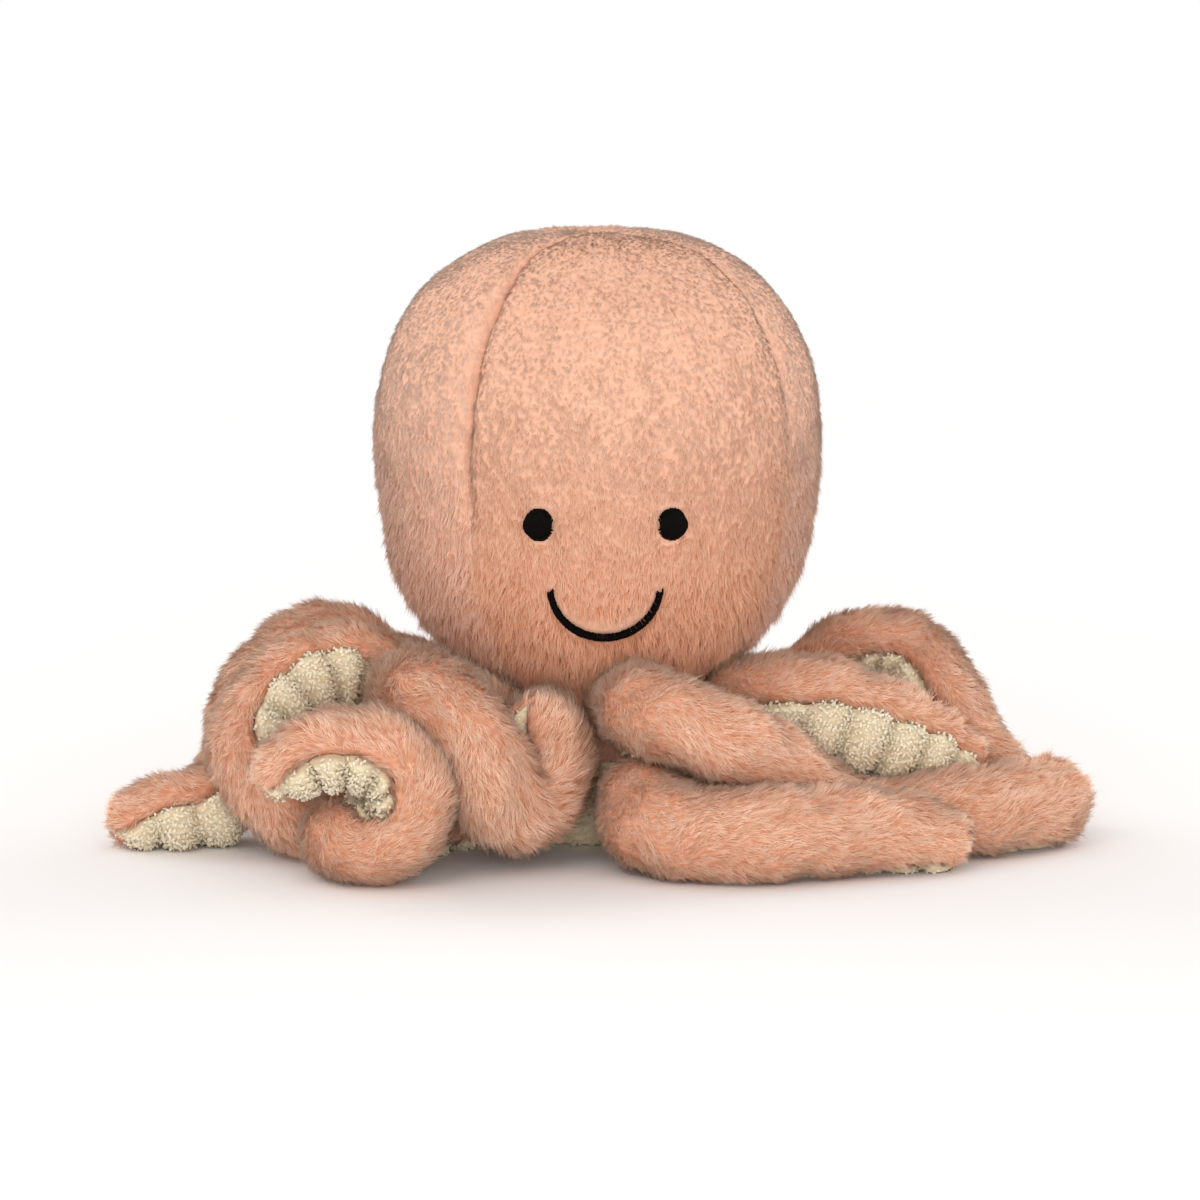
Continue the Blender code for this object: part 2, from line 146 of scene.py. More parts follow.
# %% The pale floor, which fades to the white of the backdrop away from the toy
FLOOR_REACH = 12.0
FADE_FROM, FADE_TO = 0.12, 0.75
FLOOR_COLOUR = (0.88, 0.865, 0.86, 1.0)
WHITE = (1.0, 1.0, 1.0, 1.0)
floor_bm = bmesh.new()
bmesh.ops.create_grid(floor_bm, x_segments=1, y_segments=1, size=FLOOR_REACH)
floor = add_object("floor", bpy.data.meshes.new("floor"))
floor_bm.to_mesh(floor.data)
floor_bm.free()
material, tree, output = new_material("pale_floor", (0.95, 0.93, 0.92))
plain = add_node(tree, "BsdfDiffuse", Color=FLOOR_COLOUR)
white = add_node(tree, "Emission", Color=WHITE, Strength=1.0)
place = add_node(tree, "TexCoord")
far = add_node(tree, "VectorMath", [("Vector", place.outputs["Object"])], operation="LENGTH")
fade = add_node(tree, "MapRange", [("Value", far.outputs["Value"])], interpolation_type="SMOOTHSTEP",
                From_Min=FADE_FROM, From_Max=FADE_TO)
rays = add_node(tree, "LightPath")
seen = add_node(tree, "Math", [(0, rays.outputs["Is Camera Ray"]), (1, rays.outputs["Is Glossy Ray"])],
                operation="ADD")
seen = add_node(tree, "Math", [(0, seen.outputs[0]), (1, rays.outputs["Is Transmission Ray"])],
                operation="ADD", use_clamp=True)
share = multiply(tree, seen.outputs[0], fade.outputs[0])
mixed = add_node(tree, "MixShader", [(0, share), (1, plain.outputs[0]), (2, white.outputs[0])])
tree.links.new(mixed.outputs[0], output.inputs["Surface"])
floor.data.materials.append(material)

# %% The room's light, and the plain white that the camera sees behind the toy
ROOM_COLOUR, ROOM_LIGHT = (1.0, 0.985, 0.97, 1.0), 0.88
world = bpy.data.worlds.new("room")
scene.world = world
world.use_nodes = True
tree = world.node_tree
room = tree.nodes["Background"]
room.inputs["Color"].default_value = ROOM_COLOUR
room.inputs["Strength"].default_value = ROOM_LIGHT
backdrop = add_node(tree, "Background", Color=WHITE, Strength=1.0)
rays = add_node(tree, "LightPath")
mixed = add_node(tree, "MixShader", [(0, rays.outputs["Is Camera Ray"]), (1, room.outputs[0]),
                                     (2, backdrop.outputs[0])])
tree.links.new(mixed.outputs[0], tree.nodes["World Output"].inputs["Surface"])

# %% Five lamps: place, height aimed at, size, power and colour
LAMPS = {
    "key": ((-0.40, -0.90, 0.75), 0.05, 0.7, 1.7, (1.0, 0.985, 0.96)),
    "low front": ((0.10, -0.90, 0.12), 0.05, 0.6, 2.4, (1.0, 0.975, 0.94)),
    "under the chin": ((0.0, -0.55, 0.03), 0.045, 0.3, 0.6, (1.0, 0.975, 0.94)),
    "left rim": ((-0.85, 0.55, 0.55), 0.05, 0.8, 3.2, (1.0, 0.985, 0.975)),
    "right rim": ((0.85, 0.55, 0.55), 0.05, 0.8, 3.2, (1.0, 0.985, 0.975)),
}
for name, (place, aim_height, size, power, colour) in LAMPS.items():
    lamp = add_object(name, bpy.data.lights.new(name, "AREA"))
    lamp.data.shape = "DISK"
    lamp.data.size = size
    lamp.data.energy = power
    lamp.data.color = colour
    lamp.location = place
    away = Vector(place) - Vector((0.0, 0.0, aim_height))
    lamp.rotation_euler = away.to_track_quat("Z", "Y").to_euler()

# %% [markdown]
# ## Sheets of cloth
#
# A soft toy starts as flat pieces of fabric. So does each panel here: a flat grid whose
# points know how far across and how far along the cloth they are, and which is then bent
# round the stuffing. Because each point remembers the way the pile is brushed, the fur
# can be laid along it later.

# %% A flat piece of cloth as a bmesh grid
def cut_cloth(across, along):
    """A flat grid: its points as (across, along), both from 0 to 1, and its square faces."""
    bm = bmesh.new()
    bmesh.ops.create_grid(bm, x_segments=across, y_segments=along, size=0.5)
    bmesh.ops.translate(bm, vec=(0.5, 0.5, 0.0), verts=bm.verts)
    flat = np.array([v.co[:2] for v in bm.verts])
    faces = np.array([[v.index for v in face.verts] for face in bm.faces])
    bm.free()
    return flat, faces


def unit(vectors):
    return vectors / np.maximum(np.linalg.norm(vectors, axis=-1, keepdims=True), 1e-12)


def turned(radius, turn, height):
    """Places round Z, at turns counted from the front."""
    return np.column_stack([radius * np.sin(turn), -radius * np.cos(turn), height])


def face_normals(points, faces):
    """The way each point of a mesh faces, as the mean of its faces."""
    a, b, c, d = (points[faces[:, i]] for i in range(4))
    out = np.cross(c - a, d - b)
    normals = np.zeros_like(points)
    for i in range(4):
        np.add.at(normals, faces[:, i], out)
    return unit(normals)


def facing_out(points, faces, away):
    """The faces, turned over if they look against away, and the way each point then faces."""
    out = face_normals(points, faces)
    return (faces[:, ::-1], -out) if (out * away).sum() < 0 else (faces, out)


def backing_places(flat):
    """A cloth's own places in the UV map, clear of those of its pile."""
    return np.column_stack([0.02 + 0.96 * flat[:, 0], 0.02 + 0.14 * flat[:, 1]])


def waves(points, size, seed, count=9):
    """Numbers from about -1 to 1 that change smoothly over patches of this size."""
    rng = np.random.default_rng(seed)
    ways = unit(rng.normal(size=(count, 3))) * math.tau / size
    ways *= rng.uniform(0.6, 1.5, (count, 1))
    return np.sin(points @ ways.T + rng.uniform(0, math.tau, count)).sum(1) / math.sqrt(count)


# %% [markdown]
# ## How pile grows
#
# Real plush pile stands in tufts, and the tufts lean the way that the cloth is brushed.
# Hair curves would be the usual tool, but this toy has to be solid mesh, so one blade is
# made as a thin three-sided spike, and thousands of copies are laid over the cloth. Their
# shading mixes each blade's own roundness with the way the cloth under it faces.

# %% One hair of pile, and one curl of terry
def take_shape(bm):
    """Welds a small shape, and returns its points and its faces by number of corners."""
    bmesh.ops.remove_doubles(bm, verts=bm.verts, dist=0.001)
    bmesh.ops.recalc_face_normals(bm, faces=bm.faces)
    bm.verts.index_update()
    points = np.array([v.co[:] for v in bm.verts])
    faces = [[[v.index for v in f.verts] for f in bm.faces if len(f.verts) == n] for n in (3, 4)]
    bm.free()
    return points, [np.array(f) for f in faces if f]


hair_bm = bmesh.new()
bmesh.ops.create_cone(hair_bm, cap_ends=False, segments=3, radius1=0.5, radius2=0.0, depth=1.0)
bmesh.ops.translate(hair_bm, vec=(0.0, 0.0, 0.5), verts=hair_bm.verts)
HAIR = take_shape(hair_bm)
curl_bm = bmesh.new()
bmesh.ops.create_uvsphere(curl_bm, u_segments=3, v_segments=3, radius=0.5)
CURL = take_shape(curl_bm)
print("A hair has", len(HAIR[0]), "points and a curl of terry", len(CURL[0]))


# %% Scattering roots evenly over a cloth
MM2_IN_M2 = 1e6


def scatter(sheet, per_mm2, rng):
    """Random even places on a sheet: where, which way out, how it is brushed, and how long."""
    points, faces = sheet["points"], sheet["faces"]
    corners = np.vstack([faces[:, [0, 1, 2]], faces[:, [0, 2, 3]]])
    a, b, c = (points[corners[:, i]] for i in range(3))
    areas = np.linalg.norm(np.cross(b - a, c - a), axis=1) / 2 * sheet["grows"][corners].mean(1)
    total = np.cumsum(areas)
    count = int(total[-1] * per_mm2 * MM2_IN_M2)
    drawn = (np.arange(count) + rng.random(count)) / count * total[-1]
    which = np.minimum(np.searchsorted(total, drawn), len(corners) - 1)
    share = rng.random((count, 2))
    share = np.where(share.sum(1, keepdims=True) > 1.0, 1.0 - share, share)
    share = np.column_stack([1.0 - share.sum(1), share])[:, :, None]
    mixed = {key: (sheet[key][corners[which]] * share).sum(1) for key in ("points", "out", "brush")}
    long = (sheet["long"][corners[which]] * share[:, :, 0]).sum(1)
    return mixed["points"], unit(mixed["out"]), mixed["brush"], long


# %% How uneven the pile is
SWIRL_PATCH, TUFT_TURN = 9 * MM, 0.22
UNEVEN_LONG = (5 * MM, 0.15, 0.14)  # size of a patch, how far patches differ, how far tufts do
UNEVEN_LIFT = (7 * MM, 0.25, 0.2)
UNEVEN_SHADE = (6 * MM, 0.11, 0.19)
LEAST_LONG = 0.45
LIFT_LIMITS = (0.08, 1.2)
BLADE_LONG = (0.7, 1.12)
BLADE_STRAY, SWIRL_STRAY, STRAY_SHADE = 0.06, 0.14, 0.15
BLADE_TONE, TONE_LIMITS, TONE_ROUND = 0.05, (0.03, 0.97), 0.012
ROOT_DEPTH, TIP_SPREAD = 0.25 * MM, 0.2  # a tuft's tips draw together
FLOOR_DIP, PILE_FLOOR = 0.4 * MM, 0.15 * MM


def uneven(roots, seed, rng, patch, by_patch, by_tuft):
    """Numbers round 0 that change from patch to patch, and from each tuft to the next."""
    return by_patch * waves(roots, patch, seed) + by_tuft * rng.normal(size=len(roots))


# %% Growing tufts of blades
def square_to(vectors, out):
    return unit(vectors - (vectors * out).sum(-1, keepdims=True) * out)


def grow_tufts(sheet, seed, per_mm2, blades, length, lift, width, spread,
               swirl=0.35, soft=0.5, keep=None):
    """Blades in tufts. Returns their points, (shade, height up the blade) and shading normals."""
    rng = np.random.default_rng(seed)
    roots, out, brush, long_there = scatter(sheet, per_mm2, rng)
    brush = square_to(brush, out)
    turn = uneven(roots, seed, rng, SWIRL_PATCH, swirl, TUFT_TURN)[:, None]
    way = brush * np.cos(turn) + np.cross(out, brush) * np.sin(turn)
    long = length * long_there * (1.0 + uneven(roots, seed + 1, rng, *UNEVEN_LONG))
    long = np.maximum(long, LEAST_LONG * length)
    up = np.clip(lift * (1.0 + uneven(roots, seed + 2, rng, *UNEVEN_LIFT)), *LIFT_LIMITS)
    shade = 0.5 + uneven(roots, seed + 3, rng, *UNEVEN_SHADE)
    roots, out, way, long, up, shade = (
        np.repeat(values, blades, axis=0) for values in (roots, out, way, long, up, shade))
    count = len(roots)
    spot = rng.normal(size=(count, 2)) * spread
    offset = way * spot[:, :1] + np.cross(way, out) * spot[:, 1:]
    stray = rng.normal(size=(count, 3)) * (BLADE_STRAY + SWIRL_STRAY * swirl)
    long = long * rng.uniform(*BLADE_LONG, count)
    tip_way = unit(way * np.cos(up)[:, None] + out * np.sin(up)[:, None] + stray)
    start = roots + offset - out * ROOT_DEPTH
    end = roots + TIP_SPREAD * offset + tip_way * long[:, None]
    shape, faces = HAIR
    lean = unit(end - start)
    wide = unit(np.cross(lean, out))
    deep = np.cross(lean, wide)
    round_way = wide[:, None] * shape[:, :1] + deep[:, None] * shape[:, 1:2]
    points = start[:, None] + (end - start)[:, None] * shape[:, 2:] + round_way * width
    tone = np.clip(shade + BLADE_TONE * rng.normal(size=count), *TONE_LIMITS)
    places = np.empty((len(points), len(shape), 2))
    places[:, :, 0] = tone[:, None] + shape[:, 0] * TONE_ROUND
    # Up the blade: from painted shade at the root to the pale tip.
    places[:, :, 1] = 0.2 + 0.78 * shape[:, 2]
    facing = unit(out[:, None] + soft * round_way + STRAY_SHADE * stray[:, None])
    kept = points[:, :, 2].min(1) > -FLOOR_DIP
    if keep is not None:
        for share in (0.0, 0.2, 0.4, 0.6, 0.8, 1.0):
            kept &= keep(start + share * (end - start))
    points[:, :, 2] = np.maximum(points[:, :, 2], PILE_FLOOR)
    return points[kept], places[kept], facing[kept], faces


# %% Growing curls of terry
CURL_TILT, CURL_SIZE, CURL_SIZES = 0.3, 0.22, (0.5, 1.6)
CURL_DEPTH = CURL_FLOOR = 0.1 * MM
UNEVEN_CURLS = (5 * MM, 0.12, 0.14)


def grow_curls(sheet, seed, per_mm2, height, span, width):
    """Small bent beads of yarn, lying any way round."""
    rng = np.random.default_rng(seed)
    roots, out, _, long_there = scatter(sheet, per_mm2, rng)
    count = len(roots)
    way = square_to(rng.normal(size=(count, 3)), out)
    tilt = unit(out + CURL_TILT * rng.normal(size=(count, 3)))
    side = unit(np.cross(tilt, way))
    size = (long_there * np.clip(1.0 + CURL_SIZE * rng.normal(size=count), *CURL_SIZES))[:, None]
    shape, faces = CURL
    t = shape[:, 2] + 0.5
    arch = roots[:, None] + way[:, None] * (size * (t - 0.5) * span)[:, :, None]
    arch = arch + tilt[:, None] * (size * height * np.sin(np.pi * t) - CURL_DEPTH)[:, :, None]
    round_way = side[:, None] * shape[:, :1] + tilt[:, None] * shape[:, 1:2]
    points = arch + round_way * width
    tone = np.clip(0.5 + uneven(roots, seed, rng, *UNEVEN_CURLS), *TONE_LIMITS)
    places = np.empty((count, len(shape), 2))
    places[:, :, 0] = tone[:, None] + shape[:, 0] * TONE_ROUND
    # Each curl is paler on its top and darker where it meets the cloth and on its under side: painted
    # shade.
    places[:, :, 1] = 0.25 + 0.7 * np.sin(np.pi * t) * (0.7 + 0.6 * shape[:, 1])
    facing = unit(out[:, None] + 0.8 * round_way + 0.6 * way[:, None] * (t - 0.5)[:, None])
    points[:, :, 2] = np.maximum(points[:, :, 2], CURL_FLOOR)
    return points, places, facing, faces


# %% Stuffing that pushes on a sewn cloth
PUFF_SCALE = 20.0  # the solver is steadier on a cloth of a metre or two
PUFF_PRESSURE = 4.0
PUFF_FRAMES = 20
SMALLEST_SIDE = 0.02 * MM  # faces closed to a point, as at the crown, stop the solver
CLOTH_FLOOR = 0.25 * MM


def puff(cloth, most):
    """Lets the stuffing push a cloth out between its seams, no point further than most."""
    corners = cloth["points"][cloth["faces"]]
    sides = np.linalg.norm(corners - np.roll(corners, 1, axis=1), axis=2)
    whole = sides.min(axis=1) > SMALLEST_SIDE
    mesh = bpy.data.meshes.new("puffed")
    mesh.from_pydata((cloth["points"] * PUFF_SCALE).tolist(), [], cloth["faces"][whole].tolist())
    obj = add_object("puffed", mesh)
    obj.vertex_groups.new(name="sewn").add(np.flatnonzero(cloth["sewn"]).tolist(), 1.0, "REPLACE")
    settings = obj.modifiers.new("puff", "CLOTH").settings
    settings.vertex_group_mass = "sewn"
    settings.use_pressure = True
    settings.uniform_pressure_force = PUFF_PRESSURE
    settings.effector_weights.gravity = 0.0
    for step in range(1, PUFF_FRAMES + 1):
        scene.frame_set(step)
    solved = obj.evaluated_get(bpy.context.evaluated_depsgraph_get()).to_mesh()
    points = np.array([v.co[:] for v in solved.vertices]) / PUFF_SCALE
    bpy.data.objects.remove(obj)
    scene.frame_set(1)
    moved = points - cloth["points"]
    far = np.linalg.norm(moved, axis=1, keepdims=True)
    moved = np.where(np.isfinite(far), moved * np.minimum(1.0, most / np.maximum(far, 1e-9)), 0.0)
    free = far[~cloth["sewn"]]
    middle, furthest = 1000 * float(np.median(free)), 1000 * float(free.max())
    print("The stuffing lifts the cloth by", round(middle, 3), "mm at the middle point,",
          round(furthest, 3), "mm at most; capped:", round(float((free > most).mean()), 3))
    points = cloth["points"] + moved
    points[:, 2] = np.maximum(points[:, 2], CLOTH_FLOOR)
    return {**cloth, "points": points}


# %% One piece of the toy from a cloth and what grows on it
def make_piece(name, materials, cloth, grown, stands_for, body):
    """Joins a cloth and its pile into one mesh that rides on a body of the CAD model."""
    points, places, facing = [cloth["points"]], [cloth["places"]], [cloth["out"]]
    triangles, squares, first = [np.zeros((0, 3), int)], [cloth["faces"]], len(cloth["points"])
    for spots, tones, normals, shapes in grown:
        each, corners = len(spots), spots.shape[1]
        starts = first + corners * np.arange(each)[:, None, None]
        for shape in shapes:
            found = (starts + shape[None]).reshape(-1, shape.shape[1])
            (triangles if shape.shape[1] == 3 else squares).append(found)
        points.append(spots.reshape(-1, 3))
        places.append(tones.reshape(-1, 2))
        facing.append(normals.reshape(-1, 3))
        first += each * corners
    points, places, facing = np.vstack(points), np.vstack(places), np.vstack(facing)
    triangles, squares = np.vstack(triangles), np.vstack(squares)
    corners = np.concatenate([triangles.ravel(), squares.ravel()])
    starts = np.concatenate([3 * np.arange(len(triangles)), triangles.size + 4 * np.arange(len(squares))])
    mesh = bpy.data.meshes.new(name)
    mesh.vertices.add(len(points))
    mesh.vertices.foreach_set("co", points.astype(np.float32).ravel())
    mesh.loops.add(len(corners))
    mesh.loops.foreach_set("vertex_index", corners.astype(np.int32))
    mesh.polygons.add(len(starts))
    mesh.polygons.foreach_set("loop_start", starts.astype(np.int32))
    mesh.update(calc_edges=True)
    layer = mesh.uv_layers.new(name="OFBake")
    layer.uv.foreach_set("vector", places[corners].astype(np.float32).ravel())
    mesh.shade_smooth()
    mesh.normals_split_custom_set_from_vertices(facing.tolist())
    for material in materials:
        mesh.materials.append(material)
    slots = np.zeros(len(starts), np.int32)
    slots[len(triangles):len(triangles) + len(cloth["faces"])] = 1
    mesh.polygons.foreach_set("material_index", slots)
    piece = add_object(name, mesh)
    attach(piece, body)
    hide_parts(stands_for)
    print(name, "has", len(triangles) + 2 * len(squares), "triangles")


# %% [markdown]
# ## The two fabrics
#
# Every blade carries two numbers in its UV map: its own tone, and how far up the blade a
# point is. Each blade is darkest at the root, as painted shade for the light that is lost
# between the strands, and pale at the tip, partly the fibre's own tone and partly a
# painted glow of light through the fibres. A ramp up the blade and a stretched noise across
# the tones give that, and no strand is quite the colour of the next.

# %% A pile material from tone and height
RAMP_MIDDLE = 0.55
# Below these heights the last tint fades in: painted warm light on the lower head.
LOW_LIGHT_FROM, LOW_LIGHT_TO = 0.030, 0.095


def pile_material(name, root, body, tip, warm, cool, low=(1.0, 1.0, 1.0)):
    """Pile from a dark root to a pale tip, with painted shade at the root, and painted warm light low down
    on the toy.
    """
    material, tree, output = new_material(name, body)
    place = add_node(tree, "UVMap", uv_map="OFBake")
    parts = add_node(tree, "SeparateXYZ", [("Vector", place.outputs["UV"])])
    height = add_node(tree, "MapRange", [("Value", parts.outputs["Y"])], From_Min=0.2, From_Max=0.98)
    up = add_ramp(tree, height.outputs[0], root, tip)
    up.color_ramp.elements.new(RAMP_MIDDLE).color = (*body, 1.0)
    stretch = add_node(tree, "Mapping", [("Vector", place.outputs["UV"])], Scale=(140.0, 2.5, 1.0))
    streak = add_noise(tree, stretch.outputs[0], 1.0, 3.0)
    tint = add_ramp(tree, parts.outputs["X"], warm, cool)
    dyed = add_node(tree, "MixRGB", [("Color1", up.outputs[0]), ("Color2", tint.outputs[0])],
                    blend_type="MULTIPLY", Fac=1.0)
    value = add_node(tree, "MapRange", [("Value", streak)],
                     From_Min=0.25, From_Max=0.75, To_Min=0.86, To_Max=1.12)
    streaked = add_node(tree, "MixRGB", [("Color1", dyed.outputs[0]), ("Color2", value.outputs[0])],
                        blend_type="MULTIPLY", Fac=1.0)
    spot = add_node(tree, "TexCoord")
    spot = add_node(tree, "SeparateXYZ", [("Vector", spot.outputs["Object"])])
    raised = add_node(tree, "MapRange", [("Value", spot.outputs["Z"])], interpolation_type="SMOOTHSTEP",
                      From_Min=LOW_LIGHT_FROM, From_Max=LOW_LIGHT_TO)
    # Painted warm light for the lower part of the toy.
    painted_low_light = add_node(tree, "MixRGB", [("Color1", streaked.outputs[0])],
                     blend_type="MULTIPLY", use_clamp=True, Fac=1.0, Color2=(*low, 1.0))
    final = add_node(tree, "MixRGB", [("Fac", raised.outputs[0]), ("Color1", painted_low_light.outputs[0]),
                                      ("Color2", streaked.outputs[0])])
    finish_material(tree, output, final, 0.85, 0.15)
    return material


# The head's nap ends in a last tint: painted warm light low on the head, where it is in shade.
NAP = pile_material("peach_nap", (0.58, 0.28, 0.175), (0.76, 0.47, 0.345), (0.88, 0.67, 0.55),
                    (0.86, 0.77, 0.71), (1.0, 1.02, 1.04), (1.26, 1.03, 0.89))
# The side gores' nap is a paler copy: painted sheen where the light grazes the sides of the head.
SHEEN_SIDE_NAP = pile_material("painted_sheen_side_nap", (0.64, 0.33, 0.22), (0.86, 0.57, 0.44), (0.97, 0.78, 0.68),
                         (0.87, 0.80, 0.76), (1.03, 1.05, 1.07), (1.12, 0.94, 0.86))
PEACH = pile_material("peach_pile", (0.70, 0.30, 0.18), (0.98, 0.61, 0.44), (1.0, 0.80, 0.66),
                      (0.80, 0.65, 0.55), (1.05, 1.07, 1.08))
CREAM_TINTS = (0.92, 0.89, 0.83), (1.03, 1.04, 1.04)
# The cream's dark root also gives the creases between the ribs their painted shade.
CREAM = pile_material("cream_curls", (0.76, 0.62, 0.42), (0.91, 0.83, 0.66), (0.98, 0.93, 0.81),
                      *CREAM_TINTS)


# %% The knitted backing under the pile
KNIT_PITCH = 0.5 * MM


def backing_material(name, deep, light):
    """Rows of knit, from a wave across the cloth broken up by noise."""
    material, tree, output = new_material(name, light)
    place = add_node(tree, "TexCoord")
    rows = add_node(tree, "TexWave", [("Vector", place.outputs["Object"])], bands_direction="Z",
                    Scale=0.1 / KNIT_PITCH, Distortion=14.0, Detail=3.0)
    blot = add_noise(tree, place.outputs["Object"], 400.0, 3.0)
    both = multiply(tree, rows.outputs["Fac"], blot)
    finish_material(tree, output, add_ramp(tree, both, deep, light), 0.95, 0.1)
    return material


SHORT_PLUSH = (NAP, backing_material("fine_peach_knit", (0.76, 0.42, 0.29), (0.84, 0.51, 0.37)))
SHEEN_SIDE_PLUSH = (SHEEN_SIDE_NAP, SHORT_PLUSH[1])
PLUSH = (PEACH, backing_material("peach_knit", (0.62, 0.28, 0.17), (0.82, 0.46, 0.32)))
TERRY = (CREAM, backing_material("cream_knit", (0.66, 0.54, 0.36), (0.86, 0.77, 0.58)))
# The base's curls: a darker copy of the cream terry, painted shade for the gap under the head.
SHADED = pile_material("shaded_curls", (0.56, 0.44, 0.29), (0.74, 0.63, 0.46), (0.84, 0.75, 0.58),
                       *CREAM_TINTS)

# %% [markdown]
# ## The head
#
# Four gores meet at the crown and run down to the base. Between the seams the stuffing
# pushes the cloth out, and at the seams the thread pulls it in, so each gore is bent
# round the head's outline with a soft swell and with its edges drawn in.

# %% The head's outline, as in the CAD source
HEAD_WIDTH = 0.081
HEAD_HEIGHT = 0.0935
HEAD_LIFT = 0.016
BASE_WIDTH = 0.047
SEAM_GAP = 0.0003
PILE_DEPTH = 0.0014
HEAD_OUTLINE = [
    (0.00, 1.000), (0.30, 0.993), (0.55, 0.960), (0.78, 0.880), (0.93, 0.770),
    (1.00, 0.620), (0.98, 0.488), (0.92, 0.356), (0.82, 0.263), (0.68, 0.193),
    (0.56, 0.149), (0.53, 0.115), (0.56, 0.060), (0.58, 0.000),
]
BASE_OUTLINE = [
    (1.00, 1.00), (1.00, 0.80), (0.99, 0.43), (0.94, 0.12), (0.86, 0.00),
]
GORES = {
    "head_front": (-36.0, 60.0), "head_left": (60.0, 142.0),
    "head_back": (142.0, 234.0), "head_right": (234.0, 324.0),
}
SEAMS = {  # how strongly each seam draws in, and the height where it fades into the pile
    -36.0: (1.0, 0.057), 60.0: (0.3, 0.066), 142.0: (0.7, 0.040), 234.0: (0.7, 0.040), 324.0: (1.0, 0.057),
}


def smooth_rows(rows, steps):
    """Rows read from the smooth curve that passes through the given rows."""
    rows = np.array(rows, float)
    padded = np.vstack([2 * rows[0] - rows[1], rows, 2 * rows[-1] - rows[-2]])
    read = []
    for a, b, c, d in zip(padded, padded[1:], padded[2:], padded[3:]):
        for t in np.arange(steps) / steps:
            pull = (c - a) * t + (2 * a - 5 * b + 4 * c - d) * t**2
            read.append(b + 0.5 * (pull + (3 * b - a - 3 * c + d) * t**3))
    return np.vstack([read, rows[-1]])


def evenly(line, columns, count):
    """Rows read at even steps of the length of their first few columns."""
    run = np.concatenate([[0.0], np.cumsum(np.linalg.norm(np.diff(line[:, :columns], axis=0), axis=1))])
    at = np.linspace(0.0, run[-1], count)
    return np.column_stack([np.interp(at, run, column) for column in line.T]), run[-1]


head_line = smooth_rows(HEAD_OUTLINE, 12) * (HEAD_WIDTH / 2, HEAD_HEIGHT) + (0.0, HEAD_LIFT)
head_line, head_run = evenly(head_line, 2, 90)
print("The cloth runs", round(1000 * head_run), "mm from the crown to the base")


def head_radius(height):
    return np.interp(height, head_line[::-1, 1], head_line[::-1, 0])


# %% Where the face is sewn
FACE_TURN = math.radians(2.0)
EYE_SPACING, EYE_LEVEL, EYE_WIDTH, EYE_HEIGHT = 0.0236, 0.0604, 0.0051, 0.0057
MOUTH_WIDTH, MOUTH_DROP, MOUTH_LEVEL, MOUTH_STROKE = 0.0192, 0.0085, 0.0486, 0.00104
EYE_CLEAR, MOUTH_CLEAR = 1.05, 0.66
mouth_radius = ((MOUTH_WIDTH / 2) ** 2 + MOUTH_DROP**2) / (2 * MOUTH_DROP)
mouth_centre = MOUTH_LEVEL - MOUTH_DROP + mouth_radius
mouth_reach = math.atan2(MOUTH_WIDTH / 2, mouth_radius - MOUTH_DROP)


def off_the_face(points):
    """True where a place on a blade keeps clear of the sewn eyes and mouth."""
    turn = np.arctan2(points[:, 0], -points[:, 1]) - FACE_TURN
    across, height = turn * head_radius(points[:, 2]), points[:, 2]
    clear = np.ones(len(points), bool)
    for side in (-1, 1):
        away = np.hypot((across - side * EYE_SPACING / 2) / (EYE_WIDTH / 2),
                        (height - EYE_LEVEL) / (EYE_HEIGHT / 2))
        clear &= away > EYE_CLEAR
    up = height - mouth_centre
    ring = np.abs(np.hypot(across, up) - mouth_radius) < MOUTH_CLEAR * MOUTH_STROKE
    on_arc = np.abs(np.arctan2(across, -up)) < mouth_reach
    front = np.abs(turn) < 1.0
    return ~front | (clear & ~(ring & on_arc))


# %% A gore bent round the head
COLUMN_TURN = 2.0
GORE_SWELL, GROOVE_DEPTH, THREAD_DEPTH, LUMP_DEPTH = 0.5 * MM, 0.9 * MM, 1.0 * MM, 0.25 * MM
GROOVE_WIDTH, THREAD_WIDTH, PUCKER_REACH, SEAM_FADE = 1.0 * MM, 0.35 * MM, 3 * MM, 7 * MM
SEWN_EDGE = 0.8 * MM
PILE_SHORT, PILE_GAIN, PILE_TOP, PILE_RUN = 0.65, 1.55, 92 * MM, 68 * MM


